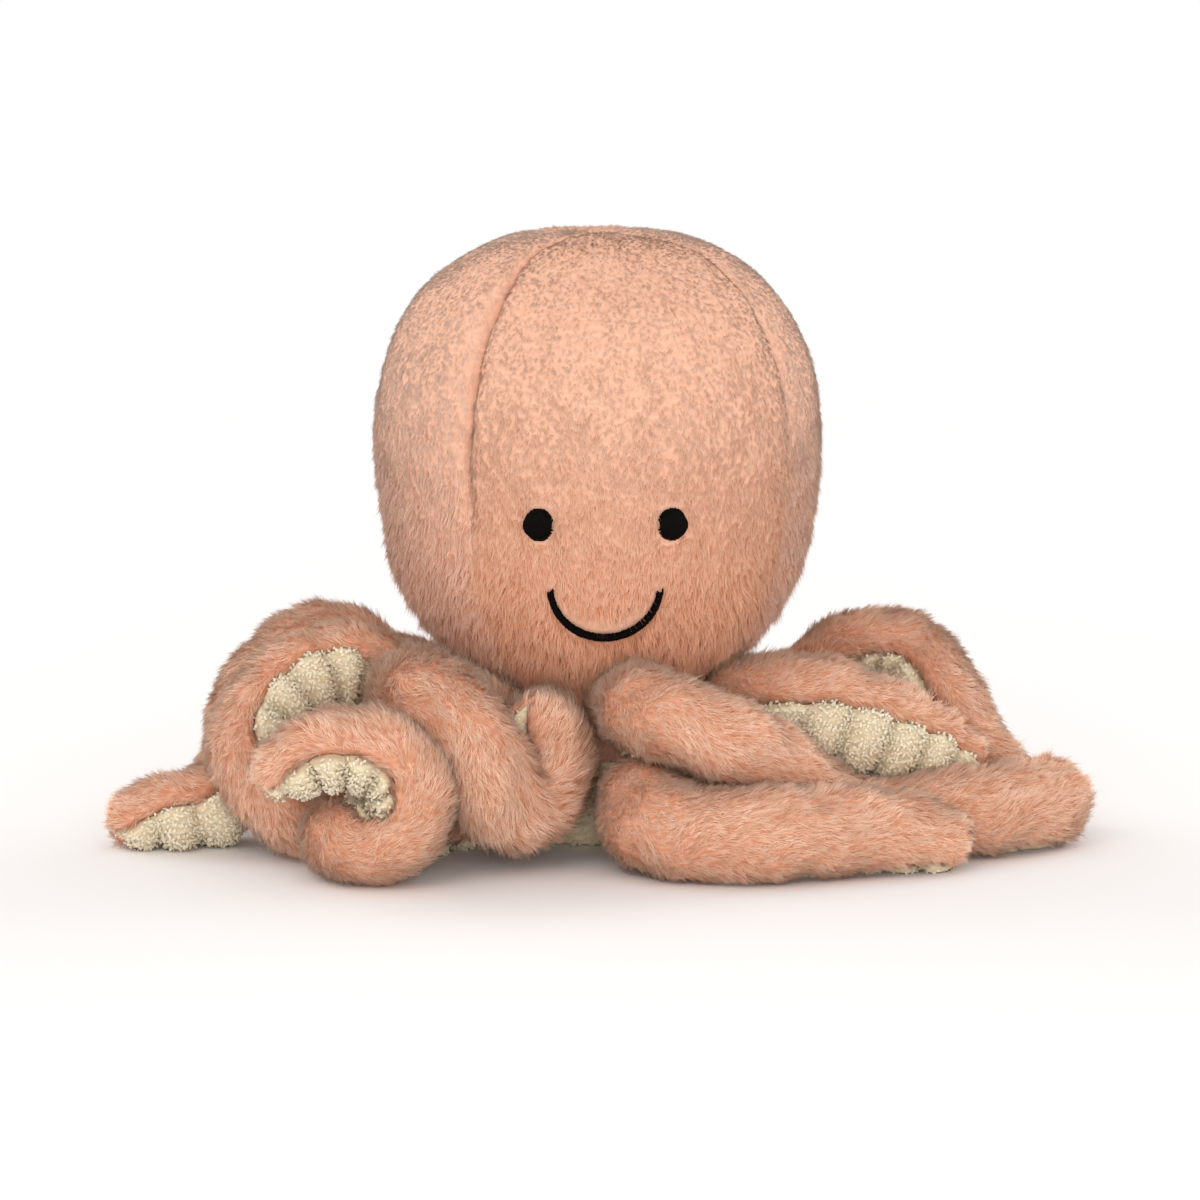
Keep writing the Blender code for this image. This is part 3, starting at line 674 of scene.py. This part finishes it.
def bend_gore(start, end):
    """A gore between two seams, given by their turns in degrees. Its rows run down from the crown."""
    columns = int((end - start) / COLUMN_TURN)
    flat, faces = cut_cloth(columns, len(head_line) - 1)
    along = flat[:, 1] * (len(head_line) - 1)
    slope = unit(np.gradient(head_line, axis=0))
    rows = np.column_stack([head_line, slope])
    radius, height, down_r, down_z = (np.interp(along, np.arange(len(rows)), column) for column in rows.T)
    turn = np.radians(start + (end - start) * flat[:, 0])
    wide = np.maximum(radius * math.radians(end - start), 1e-6)
    edge = np.minimum(flat[:, 0], 1.0 - flat[:, 0]) * wide
    swell = GORE_SWELL * np.sin(np.pi * flat[:, 0]) * np.sin(np.pi * flat[:, 1]) ** 0.5
    drawn, fade = np.where(flat[:, :1] < 0.5, SEAMS[start], SEAMS[end]).T
    drawn = drawn * np.clip((height - fade) / SEAM_FADE, 0.0, 1.0)
    groove = GROOVE_DEPTH * drawn * np.exp(-(edge / GROOVE_WIDTH) ** 2)
    spot = turned(radius, turn, height)
    pucker = 0.35 * MM * drawn * waves(spot, 5 * MM, 5) * np.exp(-edge / PUCKER_REACH)
    depth = -PILE_DEPTH + swell - groove + pucker + LUMP_DEPTH * waves(spot, 22 * MM, 6)
    depth -= THREAD_DEPTH * drawn * np.exp(-(edge / THREAD_WIDTH) ** 2)
    radius = np.maximum(radius - depth * down_z, 0.0)
    points = turned(radius, turn, height + depth * down_r)
    brush = turned(down_r, turn, down_z)
    faces, out = facing_out(points, faces, points * (1, 1, 0))
    out = unit(out * np.where(out[:, 2:] < 0.0, (1.0, 1.0, 0.3), 1.0))  # the pile hangs under the head
    bare = drawn * (edge < 0.5 * MM) * np.clip(0.6 + 0.4 * waves(spot, 4 * MM, 9), 0.1, 0.95)
    long = PILE_SHORT + PILE_GAIN * np.clip((PILE_TOP - points[:, 2]) / PILE_RUN, 0.0, 1.0)
    sewn = (edge < SEWN_EDGE) | (radius < 4 * MM) | (flat[:, 1] > 0.97)
    return {"points": points, "faces": faces, "out": out, "brush": brush, "grows": 1.0 - bare,
            "long": long, "places": backing_places(flat), "sewn": sewn}


# %% The four gores and their pile
HEAD_PUFF, ARM_PUFF = 0.6 * MM, 0.4 * MM
for number, (name, (start, end)) in enumerate(GORES.items()):
    gore = puff(bend_gore(start, end), HEAD_PUFF)
    pile = grow_tufts(gore, 100 + 10 * number, per_mm2=2.1, blades=5, length=1.9 * MM, lift=0.24,
                      width=0.17 * MM, spread=0.27 * MM, swirl=0.2, soft=1.8, keep=off_the_face)
    # The side gores take the paler copy of the nap: painted sheen from the light that grazes them.
    fabric = SHEEN_SIDE_PLUSH if name in ("head_left", "head_right") else SHORT_PLUSH
    make_piece(name + "_plush", fabric, gore, [pile], name + "_panel", "body")

# %% [markdown]
# ## The arms
#
# An arm is two strips sewn edge to edge round a core of stuffing: plush over its back, and
# terry under it, gathered into ribs. Each strip is bent round the arm's middle line, and
# its edges are tucked into the seam.
#
# Each arm has its root's turn in degrees, and rows of a place, half a width, how open the
# terry is, and the way the terry faces. Places and half widths count in arm widths; x and
# y are from the root, and z is from the floor. All are the CAD source's, but arms 2, 5, 7
# and 8 show less terry in places, arm 2's faces slightly otherwise, and arm 8 is fuller
# and slightly moved.

# %% The middle line of every arm
ARM_WIDTH = 0.015
UNDERSIDE = math.radians(52.0)
DOWN = (0.0, 0.0, -1.0)
ARMS = {}
ARMS[1] = 285.0, [
    (0, 0, 0.55, 0.49, 0.9, DOWN), (0.01, -0.53, 0.68, 0.54, 0.9, (0.3, 0.1, -1.0)),
    (0.09, -0.90, 0.62, 0.55, 0.8, (0.5, 0.3, -0.8)),
    (0.52, -1.30, 0.53, 0.52, 0.8, (0.2, 0.6, -0.75)),
    (1.12, -1.37, 0.53, 0.52, 0.8, (0, 0.7, -0.7)),
    (1.80, -1.22, 0.52, 0.51, 0.8, (0, 0.7, -0.7)),
    (2.50, -0.92, 0.49, 0.48, 0.8, (0, 0.6, -0.8)),
    (3.03, -0.80, 0.44, 0.43, 0.8, (0, 0.3, -0.9)),
    (3.42, -0.78, 0.37, 0.36, 0.8, (0, 0.2, -0.95)),
]
ARMS[2] = 281.0, [
    (0, 0, 1.77, 0.45, 0.4, DOWN), (0.08, -0.47, 1.87, 0.47, 0.3, DOWN),
    (0.22, -0.84, 1.88, 0.47, 0.25, (-0.3, 0.6, -0.7)),
    (0.54, -1.09, 1.81, 0.47, 0.25, (-0.4, 0.8, -0.5)),
    (0.96, -1.08, 1.64, 0.46, 0.5, (-0.35, 0.8, -0.5)),
    (1.36, -0.82, 1.39, 0.45, 0.8, (-0.3, 0.75, -0.6)),
    (1.76, -0.48, 1.08, 0.45, 0.8, (-0.3, 0.7, -0.6)),
    (2.16, -0.17, 0.73, 0.44, 0.8, (-0.2, 0.6, -0.75)),
    (2.73, 0.05, 0.44, 0.43, 0.8, (0, 0.6, -0.8)),
    (3.54, 0.10, 0.48, 0.47, 0.8, (0, 0.6, -0.8)),
    (4.18, 0.13, 0.50, 0.49, 0.8, (0, 0.6, -0.8)),
    (4.62, 0.40, 0.51, 0.50, 0.8, (0, 0.5, -0.85)),
    (4.95, 0.73, 0.50, 0.49, 0.8, (0, 0.5, -0.85)),
]
ARMS[3] = 333.0, [
    (0, 0, 1.70, 0.48, 1.0, (0, -0.6, -0.8)),
    (0.64, -0.37, 1.69, 0.56, 1.0, (0, -0.75, -0.66)),
    (1.21, -0.44, 1.53, 0.59, 1.0, (0, -0.9, -0.43)),
    (1.71, -0.37, 1.35, 0.53, 1.0, (0, -0.92, -0.4)),
    (2.19, -0.24, 1.16, 0.43, 1.0, (0, -0.95, -0.3)),
    (2.53, -0.14, 1.01, 0.33, 0.9, (0, -0.95, -0.3)),
]
ARMS[4] = 30.0, [
    (0, 0, 1.33, 0.45, 0.8, (0, -0.6, -0.8)),
    (0.74, 0.13, 1.47, 0.47, 0.8, (0, -0.7, -0.7)),
    (1.22, 0.09, 1.82, 0.47, 0.6, (-0.1, -0.8, -0.5)),
    (1.70, -0.07, 2.01, 0.47, 0.4, (-0.1, -0.9, -0.4)),
    (2.13, -0.37, 1.92, 0.47, 0.4, (-0.3, -0.9, -0.3)),
    (2.38, -0.74, 1.60, 0.47, 0.4, (-0.5, -0.85, -0.2)),
    (2.60, -1.04, 1.17, 0.47, 0.5, (-0.7, -0.7, -0.1)),
    (2.92, -1.21, 0.73, 0.44, 0.8, (-0.4, -0.6, -0.7)), (3.35, -1.21, 0.40, 0.39, 0.9, DOWN),
    (3.66, -1.14, 0.36, 0.35, 0.9, DOWN),
]
ARMS[5] = 155.0, [
    (0, 0, 1.47, 0.48, 0.9, DOWN), (-0.77, -0.05, 1.73, 0.48, 0.9, (0.1, -0.1, -1.0)),
    (-1.44, -0.19, 2.09, 0.49, 0.9, (0.2, -0.3, -0.9)),
    (-1.94, -0.65, 1.96, 0.49, 0.9, (0.6, -0.2, -0.7)),
    (-2.28, -1.09, 1.57, 0.48, 0.9, (0.8, -0.2, -0.3)),
    (-2.39, -1.45, 1.09, 0.47, 0.9, (0.7, -0.5, -0.1)),
    (-2.52, -1.85, 0.65, 0.47, 0.9, (0.3, -0.85, -0.25)),
    (-2.91, -2.15, 0.47, 0.46, 1.0, (0.1, -0.85, -0.5)),
    (-3.33, -2.25, 0.41, 0.40, 1.0, (0, -0.8, -0.6)),
    (-3.65, -2.25, 0.34, 0.33, 0.5, (0, -0.8, -0.6)),
]
ARMS[6] = 196.0, [
    (0, 0, 1.53, 0.48, 0.9, (0, -0.4, -0.9)),
    (-0.68, -0.45, 1.99, 0.49, 0.9, (0, -0.7, -0.7)),
    (-1.20, -0.71, 2.12, 0.50, 1.0, (0.1, -0.95, -0.25)),
    (-1.64, -0.98, 1.99, 0.50, 1.0, (0.4, -0.9, -0.15)),
    (-2.02, -1.25, 1.65, 0.50, 1.0, (0.7, -0.7, 0.0)),
    (-2.12, -1.45, 1.26, 0.49, 1.0, (0.9, -0.35, 0.25)),
    (-1.91, -1.55, 0.87, 0.49, 1.0, (0.6, -0.1, 0.7)),
    (-1.54, -1.45, 0.48, 0.47, 0.9, (0.2, 0.1, 0.9)),
]
ARMS[7] = 222.0, [
    (0, 0, 0.57, 0.46, 0.6, DOWN), (-0.65, -0.53, 0.46, 0.45, 0.5, (0.3, 0.0, -0.9)),
    (-0.98, -0.97, 0.46, 0.45, 0.9, (0.8, -0.3, -0.4)),
    (-1.32, -1.42, 0.47, 0.46, 1.0, (0.95, 0.0, 0.2)),
    (-1.40, -1.90, 0.48, 0.47, 1.0, (0.6, 0.5, 0.6)),
    (-1.08, -2.20, 0.46, 0.45, 1.0, (0.1, 0.5, 0.9)),
    (-0.72, -2.27, 0.66, 0.43, 1.0, (-0.5, 0.2, 0.9)),
    (-0.60, -2.30, 1.00, 0.44, 1.0, (-0.95, 0.0, 0.2)),
    (-0.71, -2.33, 1.37, 0.44, 1.0, (-0.8, -0.2, -0.5)),
    (-0.99, -2.37, 1.59, 0.44, 1.0, (-0.3, -0.4, -0.9)),
    (-1.33, -2.37, 1.65, 0.43, 1.0, (0, -0.5, -0.85)),
    (-1.74, -2.37, 1.59, 0.40, 1.0, (0.3, -0.5, -0.8)),
    (-2.06, -2.37, 1.40, 0.34, 0.9, (0.5, -0.45, -0.7)),
]
ARMS[8] = 226.0, [
    (0, 0, 1.53, 0.47, 0.6, DOWN), (-0.45, -0.37, 1.81, 0.47, 0.5, (0.1, -0.2, -1.0)),
    (-0.77, -0.80, 1.96, 0.48, 0.9, (0.2, 0.0, -1.0)),
    (-0.63, -1.27, 2.05, 0.48, 0.9, (0.6, 0.3, -0.8)),
    (-0.25, -1.59, 1.80, 0.48, 0.8, (0.5, 0.7, -0.5)),
    (0.05, -1.70, 1.40, 0.49, 0.6, (0.55, 0.8, 0.1)),
    (0.20, -1.54, 0.99, 0.50, 0.5, (0.3, 0.6, 0.7)),
    (0.42, -1.23, 0.77, 0.52, 0.3, (0, 0.1, 1.0)),
    (0.67, -0.93, 0.91, 0.54, 0.3, (-0.3, -0.45, 0.8)),
    (0.76, -0.86, 1.27, 0.54, 0.3, (-0.6, -0.75, 0.25)),
    (0.73, -0.93, 1.55, 0.47, 0.5, (-0.75, -0.65, 0.0)),
]
base_line = smooth_rows(BASE_OUTLINE, 2) * (BASE_WIDTH / 2, HEAD_LIFT - SEAM_GAP)
head_rows = smooth_rows(HEAD_OUTLINE, 2) * (HEAD_WIDTH / 2, HEAD_HEIGHT) + (0.0, HEAD_LIFT)
body_line = smooth_rows(np.vstack([head_rows, base_line]), 2)


def root_of(turn, height, half_width):
    """Where an arm's round root rests against the body."""
    reach = half_width + SEAM_GAP
    near = body_line[np.abs(body_line[:, 1] - height) < reach]
    out = (near[:, 0] + np.sqrt(reach**2 - (near[:, 1] - height) ** 2)).max()
    return np.array([out * math.cos(turn), out * math.sin(turn), 0.0])


# %% An arm's stations: place, half width, opening and frame, with a dome at each end
STATION = 0.6 * MM
DOME_TURNS = np.radians((12, 24, 36, 48, 59, 69, 78, 85, 89.5))
DOME_OPEN_AT, DOME_OPEN = (0.0, 0.66, 1.26), (1.0, 0.6, 0.36)


def arm_stations(number):
    degrees, rows = ARMS[number]
    numbers = np.array([(*row[:5], *row[5]) for row in rows])
    numbers[:, :4] *= ARM_WIDTH
    numbers[:, :3] += root_of(math.radians(degrees), numbers[0, 2], numbers[0, 3])
    line, length = evenly(smooth_rows(numbers, 10), 3, 400)
    count = int(length / STATION)
    line, _ = evenly(line, 3, count)
    run = np.linspace(0.0, length, count)
    for end in (0, -1):
        way = unit(line[end, :3] - line[1 if end == 0 else -2, :3])
        dome = []
        for turn in DOME_TURNS:
            row = line[end].copy()
            row[:3] += way * row[3] * math.sin(turn)
            row[3] *= math.cos(turn)
            row[4] *= np.interp(turn, DOME_OPEN_AT, DOME_OPEN)
            dome.append(row)
        steps = line[end, 3] * np.sin(DOME_TURNS)
        if end == 0:
            line, run = np.vstack([dome[::-1], line]), np.concatenate([run[0] - steps[::-1], run])
        else:
            line, run = np.vstack([line, dome]), np.concatenate([run, run[-1] + steps])
    ahead = unit(np.gradient(line[:, :3], axis=0))
    under = square_to(line[:, 5:], ahead)
    return {"run": run, "place": line[:, :3], "half": line[:, 3], "open": line[:, 4],
            "ahead": ahead, "under": under, "across": np.cross(ahead, under)}


arms = {number: arm_stations(number) for number in ARMS}
print("Arm lengths, mm:", {n: round(1000 * np.ptp(arm["run"])) for n, arm in arms.items()})


# %% A strip bent round an arm's middle line
RIB_PITCH = 6.6 * MM
SCALLOP = 0.5 * MM
SMALL_ARM = 6 * MM  # half a width, under which all depths shrink
BRUSHED_BACK = 0.25
OVERLAP_TURN = 0.02


def rib_bulge(run):
    """1 on the crest of a rib and 0 in the crease between two."""
    across_rib = 2 * np.abs((run / RIB_PITCH) % 1.0 - 0.5)
    return np.sqrt(1.0 - 0.995 * across_rib**2.2)


def bend_strip(arm, columns, angle_of, depth_of, creased=0.0):
    """A strip of cloth round an arm. angle_of and depth_of take (across, run, half, seam)."""
    rows = len(arm["run"])
    flat, faces = cut_cloth(columns, rows - 1)
    row = np.rint(flat[:, 1] * (rows - 1)).astype(int)
    across, run, half = 2 * flat[:, 0] - 1, arm["run"][row], arm["half"][row]
    small = np.minimum(half / SMALL_ARM, 1.0)
    scallop = SCALLOP * (2 * rib_bulge(run) - 1) * small / np.maximum(half, MM)
    seam = UNDERSIDE * arm["open"][row] + scallop
    angle = angle_of(across, seam)
    way = np.cos(angle)[:, None] * arm["under"][row] + np.sin(angle)[:, None] * arm["across"][row]
    spot = arm["place"][row] + half[:, None] * way
    radius = np.maximum(half + depth_of(across, run, half, seam, spot) * small, 0.0)
    points = arm["place"][row] + radius[:, None] * way
    points[:, 2] = np.maximum(points[:, 2], CLOTH_FLOOR)
    faces, out = facing_out(points, faces, way)
    out = unit(out + 1e-6 * way)
    edge = (1.0 - np.abs(across)) * np.abs(angle_of(1.0, seam) - angle_of(0.0, seam)) * half
    grows = np.clip((edge - 0.5 * MM) / (0.5 * MM), 0.15, 1.0) * (1.0 - creased * (1.0 - rib_bulge(run)))
    return {"points": points, "faces": faces, "out": out, "grows": grows, "long": 0.55 + 0.45 * small,
            "brush": arm["ahead"][row] - BRUSHED_BACK * arm["under"][row],
            "places": backing_places(flat), "sewn": (edge < SEWN_EDGE) | (half < 4 * MM)}


def back_angle(across, seam):
    return math.pi + across * (math.pi - seam + OVERLAP_TURN)


def under_angle(across, seam):
    return across * (seam - OVERLAP_TURN)


def back_depth(across, run, half, seam, spot):
    edge = (1.0 - np.abs(across)) * (math.pi - seam) * half
    tucked = -1.5 * MM * np.exp(-((edge / (0.45 * MM)) ** 2))
    groove = -0.8 * MM * np.exp(-((edge / (1.3 * MM)) ** 2))
    pulled = -0.5 * MM * (1.0 - rib_bulge(run)) * np.exp(-edge / (3.0 * MM))
    return tucked + groove + pulled + 0.35 * MM * waves(spot, 10 * MM, 8)


def under_depth(across, run, half, seam, spot):
    edge = (1.0 - np.abs(across)) * seam * half
    tucked = -1.6 * MM * np.exp(-((edge / (0.5 * MM)) ** 2))
    bulge = (4.3 * rib_bulge(run) - 3.0) * MM * np.minimum(1.0, edge / (1.3 * MM)) ** 0.5
    return tucked + bulge


# %% The eight arms
BACK_COLUMNS, UNDER_COLUMNS = 34, 22
ARM_PILE = 2.6 * MM
FLUFFY_ARMS = {8: 1.3}
for number, arm in arms.items():
    body = f"arm_{number}"
    cover = puff(bend_strip(arm, BACK_COLUMNS, back_angle, back_depth), ARM_PUFF)
    fluffy = FLUFFY_ARMS.get(number, 1.0) * ARM_PILE
    pile = grow_tufts(cover, 200 + 10 * number, per_mm2=1.4, blades=7, length=fluffy, lift=0.42,
                      width=0.20 * MM, spread=0.42 * MM, swirl=0.45, soft=1.8)
    make_piece(body + "_plush", PLUSH, cover, [pile], body + "_cover", body)
    strip = bend_strip(arm, UNDER_COLUMNS, under_angle, under_depth, creased=0.8)
    loops = grow_curls(strip, 300 + 10 * number, per_mm2=2.7, height=0.75 * MM, span=0.60 * MM,
                       width=0.60 * MM)
    make_piece(body + "_terry", TERRY, strip, [loops], body + "_underside", body)

# %% [markdown]
# ## The base
#
# Under the head the toy closes with a round of cream terry, a little of which can be seen
# between the arms. Its curls are a darker copy of the cream: painted shade for that gap.

# %% Cloths turned about the middle of the toy
BRUSHED_DOWN = (0.001, 0.001, -0.999)


def turn_cloth(outline, columns, rows, ease):
    """A cloth turned about Z from an outline of (radius, height), moved out by ease(spot, turn)."""
    line, _ = evenly(np.array(outline, float), 2, rows)
    flat, faces = cut_cloth(columns, rows - 1)
    row = np.rint(flat[:, 1] * (rows - 1)).astype(int)
    turn, radius, height = math.tau * flat[:, 0], line[row, 0], line[row, 1]
    spot = turned(radius, turn, height)
    radius = np.maximum(radius + ease(spot, turn) * np.minimum(radius / (5 * MM), 1.0), 0.0)
    points = turned(radius, turn, height)
    faces, out = facing_out(points, faces, points - (0.0, 0.0, line[:, 1].mean()))
    return {"points": points, "faces": faces, "out": out, "brush": np.ones_like(points) * BRUSHED_DOWN,
            "grows": np.where(height < 0.5 * MM, 0.1, 1.0), "long": np.ones(len(points)),
            "places": backing_places(flat)}


# %% The terry base
def gather(spot, turn):
    return (-0.4 - 0.5 * (1.0 - np.abs(np.sin(turn * 10)) ** 0.5)) * MM


base_rows = smooth_rows(BASE_OUTLINE, 6) * (BASE_WIDTH / 2, HEAD_LIFT - SEAM_GAP)
base_rows = np.vstack([base_rows, (0.0, 0.0)])
base = turn_cloth(base_rows, columns=120, rows=50, ease=gather)
base["points"][:, 2] = np.maximum(base["points"][:, 2], CLOTH_FLOOR)
loops = grow_curls(base, 400, per_mm2=1.3, height=0.8 * MM, span=0.55 * MM, width=0.60 * MM)
# Painted shade: the base takes the darker copy of the cream curls.
make_piece("base_terry", (SHADED, TERRY[1]), base, [loops], "base_panel", "body")

# %% [markdown]
# ## What is inside
#
# The head is filled with loose white fibre. Under it a cloth pouch of beans weighs the toy
# down, and each arm has a core of the same fibre. None of this shows from outside, but
# it is what gives the toy its feel, so it is made too: lumpy fibre with stray hairs, and
# a woven pouch that takes the shape of the beans.

# %% White fibre, matted into soft wads: two noises, one fine and stretched
FIBRE, tree, output = new_material("white_fibre", (0.8, 0.8, 0.78))
place = add_node(tree, "TexCoord")
clumps = add_noise(tree, place.outputs["Object"], 220.0, 4.0)
stretch = add_node(tree, "Mapping", [("Vector", place.outputs["Object"])], Scale=(3.0, 1.0, 0.6))
strands = add_noise(tree, stretch.outputs[0], 1500.0, 2.0)
both = multiply(tree, clumps, strands)
tone = add_ramp(tree, both, (0.62, 0.62, 0.60), (0.88, 0.88, 0.86), (0.1, 0.45))
finish_material(tree, output, tone, 0.95)

# %% Plain weave: threads that cross, from two waves, with uneven yarn
WEAVE, tree, output = new_material("pouch_weave", (0.55, 0.47, 0.35))
place = add_node(tree, "UVMap", uv_map="OFBake")
ways = [
    add_node(tree, "TexWave", [("Vector", place.outputs["UV"])], bands_direction=way, Scale=scale)
    for way, scale in (("X", 40.0), ("Y", 120.0))
]
both = multiply(tree, ways[0].outputs["Fac"], ways[1].outputs["Fac"])
yarn = add_noise(tree, place.outputs["UV"], 90.0, 3.0)
total = add_node(tree, "Math", [(0, both), (1, yarn)], operation="ADD")
tone = add_ramp(tree, total.outputs[0], (0.34, 0.27, 0.18), (0.62, 0.54, 0.41), (0.3, 1.0))
finish_material(tree, output, tone, 0.9)

# %% The head's filling and the bean pouch
def wads(spot, turn):
    return 0.8 * MM * waves(spot, 14 * MM, 21) + 0.4 * MM * waves(spot, 5 * MM, 22)


FILLING_DEPTH, FILLING_NECK, FILLING_FOOT, FILLING_FLOOR = 4.5 * MM, 20 * MM, 16 * MM, 16.5 * MM
inner = head_line[::3].copy()
inner[:, 0] = np.maximum(inner[:, 0] - FILLING_DEPTH, 0.0)
inner[:, 1] -= FILLING_DEPTH * (inner[:, 1] - HEAD_LIFT) / HEAD_HEIGHT
foot = [(FILLING_FOOT, FILLING_FLOOR), (0.0, FILLING_FLOOR)]
inner = np.vstack([(0.0, inner[0, 1]), inner[inner[:, 1] > FILLING_NECK], foot])
filling = turn_cloth(inner, columns=90, rows=90, ease=wads)
strands = grow_tufts(filling, 500, per_mm2=0.05, blades=3, length=3.0 * MM, lift=0.25,
                     width=0.06 * MM, spread=0.8 * MM, swirl=3.0)
make_piece("head_filling", (FIBRE, FIBRE), filling, [strands], "head_stuffing", "body")


def beans(spot, turn):
    return 0.5 * MM * np.abs(waves(spot, 4.5 * MM, 23)) - 0.6 * MM


POUCH_REACH, POUCH_LEVEL, POUCH_ROUND = 12.5, 8.3, 5.9
POUCH_TOP, POUCH_FLOOR = 13.9 * MM, 2.6 * MM
bend = np.linspace(math.pi / 2, -math.pi / 2, 12)
pouch_rows = np.column_stack([POUCH_REACH + POUCH_ROUND * np.cos(bend),
                              POUCH_LEVEL + POUCH_ROUND * np.sin(bend)]) * MM
pouch_rows = np.vstack([(0.0, POUCH_TOP), pouch_rows, (0.0, POUCH_FLOOR)])
pouch = turn_cloth(pouch_rows, columns=120, rows=60, ease=beans)
make_piece("bean_pouch_cloth", (WEAVE, WEAVE), pouch, [], "bean_pouch", "body")

# %% The arms' cores
CORE_INSET, CORE_COLUMNS, CORE_THINNED = 0.42, 20, 3


def core_depth(across, run, half, seam, spot):
    return -CORE_INSET * half + 0.3 * MM * waves(spot, 8 * MM, 24)


def full_turn(across, seam):
    return math.pi * (across + 1.0)


for number, arm in arms.items():
    body = f"arm_{number}"
    sparse = {key: values[::CORE_THINNED] for key, values in arm.items()}
    core = bend_strip(sparse, CORE_COLUMNS, full_turn, core_depth)
    strands = grow_tufts(core, 510 + number, per_mm2=0.06, blades=3, length=1.6 * MM, lift=0.25,
                         width=0.05 * MM, spread=0.5 * MM, swirl=3.0)
    make_piece(body + "_filling", (FIBRE, FIBRE), core, [strands], body + "_stuffing", body)

# %% [markdown]
# ## The face
#
# Eyes and smile are satin stitch: black thread laid side by side. Each stitch is a
# short bent thread, so the edges come out slightly ragged, as sewn ones do.

# %% Threads as bevelled curves, made into one mesh
def sew(name, lines, thickness, material, stands_for):
    curve = bpy.data.curves.new(name, "CURVE")
    curve.dimensions = "3D"
    curve.bevel_depth = thickness / 2
    curve.bevel_resolution = 1
    curve.use_fill_caps = True
    for line in lines:
        spline = curve.splines.new("POLY")
        spline.points.add(len(line) - 1)
        for point, place in zip(spline.points, line):
            point.co = (*place, 1.0)
    drawn = add_object(name + "_line", curve)
    mesh = bpy.data.meshes.new_from_object(drawn.evaluated_get(bpy.context.evaluated_depsgraph_get()))
    bpy.data.objects.remove(drawn)
    mesh.name = name
    mesh.materials.clear()
    mesh.materials.append(material)
    mesh.shade_smooth()
    piece = add_object(name, mesh)
    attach(piece, "body")
    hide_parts(stands_for)


def on_face(across, height, lift):
    """A place on the front of the head, this far out of the cloth."""
    radius = float(head_radius(height))
    turn = FACE_TURN + float(across) / radius
    slope = float(head_radius(height + MM) - head_radius(height - MM)) / (2 * MM)
    out = Vector((math.sin(turn), -math.cos(turn), -slope)).normalized()
    return Vector((radius * math.sin(turn), -radius * math.cos(turn), height)) + float(lift) * out


# %% The black thread
THREAD, tree, output = new_material("black_thread", (0.01, 0.01, 0.012))
place = add_node(tree, "TexCoord")
grain = add_noise(tree, place.outputs["Object"], 9000.0, 2.0)
tone = add_ramp(tree, grain, (0.0005, 0.0004, 0.0004), (0.004, 0.0025, 0.002))
finish_material(tree, output, tone, 0.6, 0.06)

# %% Two satin eyes
EYE_STITCHES, EYE_THREAD, EYE_LIFT = 24, 0.34 * MM, 1.0
stitch_rng = np.random.default_rng(7)
for name, side in (("right_eye", -1), ("left_eye", 1)):
    lines = []
    for share in np.linspace(-0.94, 0.94, EYE_STITCHES):
        tall = EYE_HEIGHT / 2 * math.sqrt(1 - share**2) * stitch_rng.uniform(0.97, 1.04)
        across = side * EYE_SPACING / 2 + share * EYE_WIDTH / 2
        lines.append([
            on_face(across, EYE_LEVEL + step * tall,
                    (EYE_LIFT - 1.2 * abs(step) ** 5 - 0.2 * share**2) * MM)
            for step in np.linspace(-1, 1, 9)
        ])
    sew(name + "_satin", lines, EYE_THREAD, THREAD, name)

# %% The satin smile
MOUTH_STITCHES, MOUTH_THREAD, MOUTH_LIFT, STITCH_TILT = 84, 0.36 * MM, 1.15, 0.5
lines = []
for turn in np.linspace(-mouth_reach, mouth_reach, MOUTH_STITCHES):
    middle = (mouth_radius * math.sin(turn), mouth_centre - mouth_radius * math.cos(turn))
    tilt = turn + STITCH_TILT
    reach = MOUTH_STROKE * 0.52 * stitch_rng.uniform(0.82, 1.18)
    lines.append([
        on_face(middle[0] - math.sin(tilt) * step * reach, middle[1] + math.cos(tilt) * step * reach,
                (MOUTH_LIFT - abs(step) ** 3) * MM)
        for step in np.linspace(-1, 1, 5)
    ])
sew("mouth_satin", lines, MOUTH_THREAD, THREAD, "mouth")

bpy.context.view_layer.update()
faces = sum(len(o.data.loop_triangles) or sum(len(f.vertices) - 2 for f in o.data.polygons)
            for o in bpy.data.objects if o.type == "MESH" and not o.hide_render)
print("Triangles shown in all:", faces)
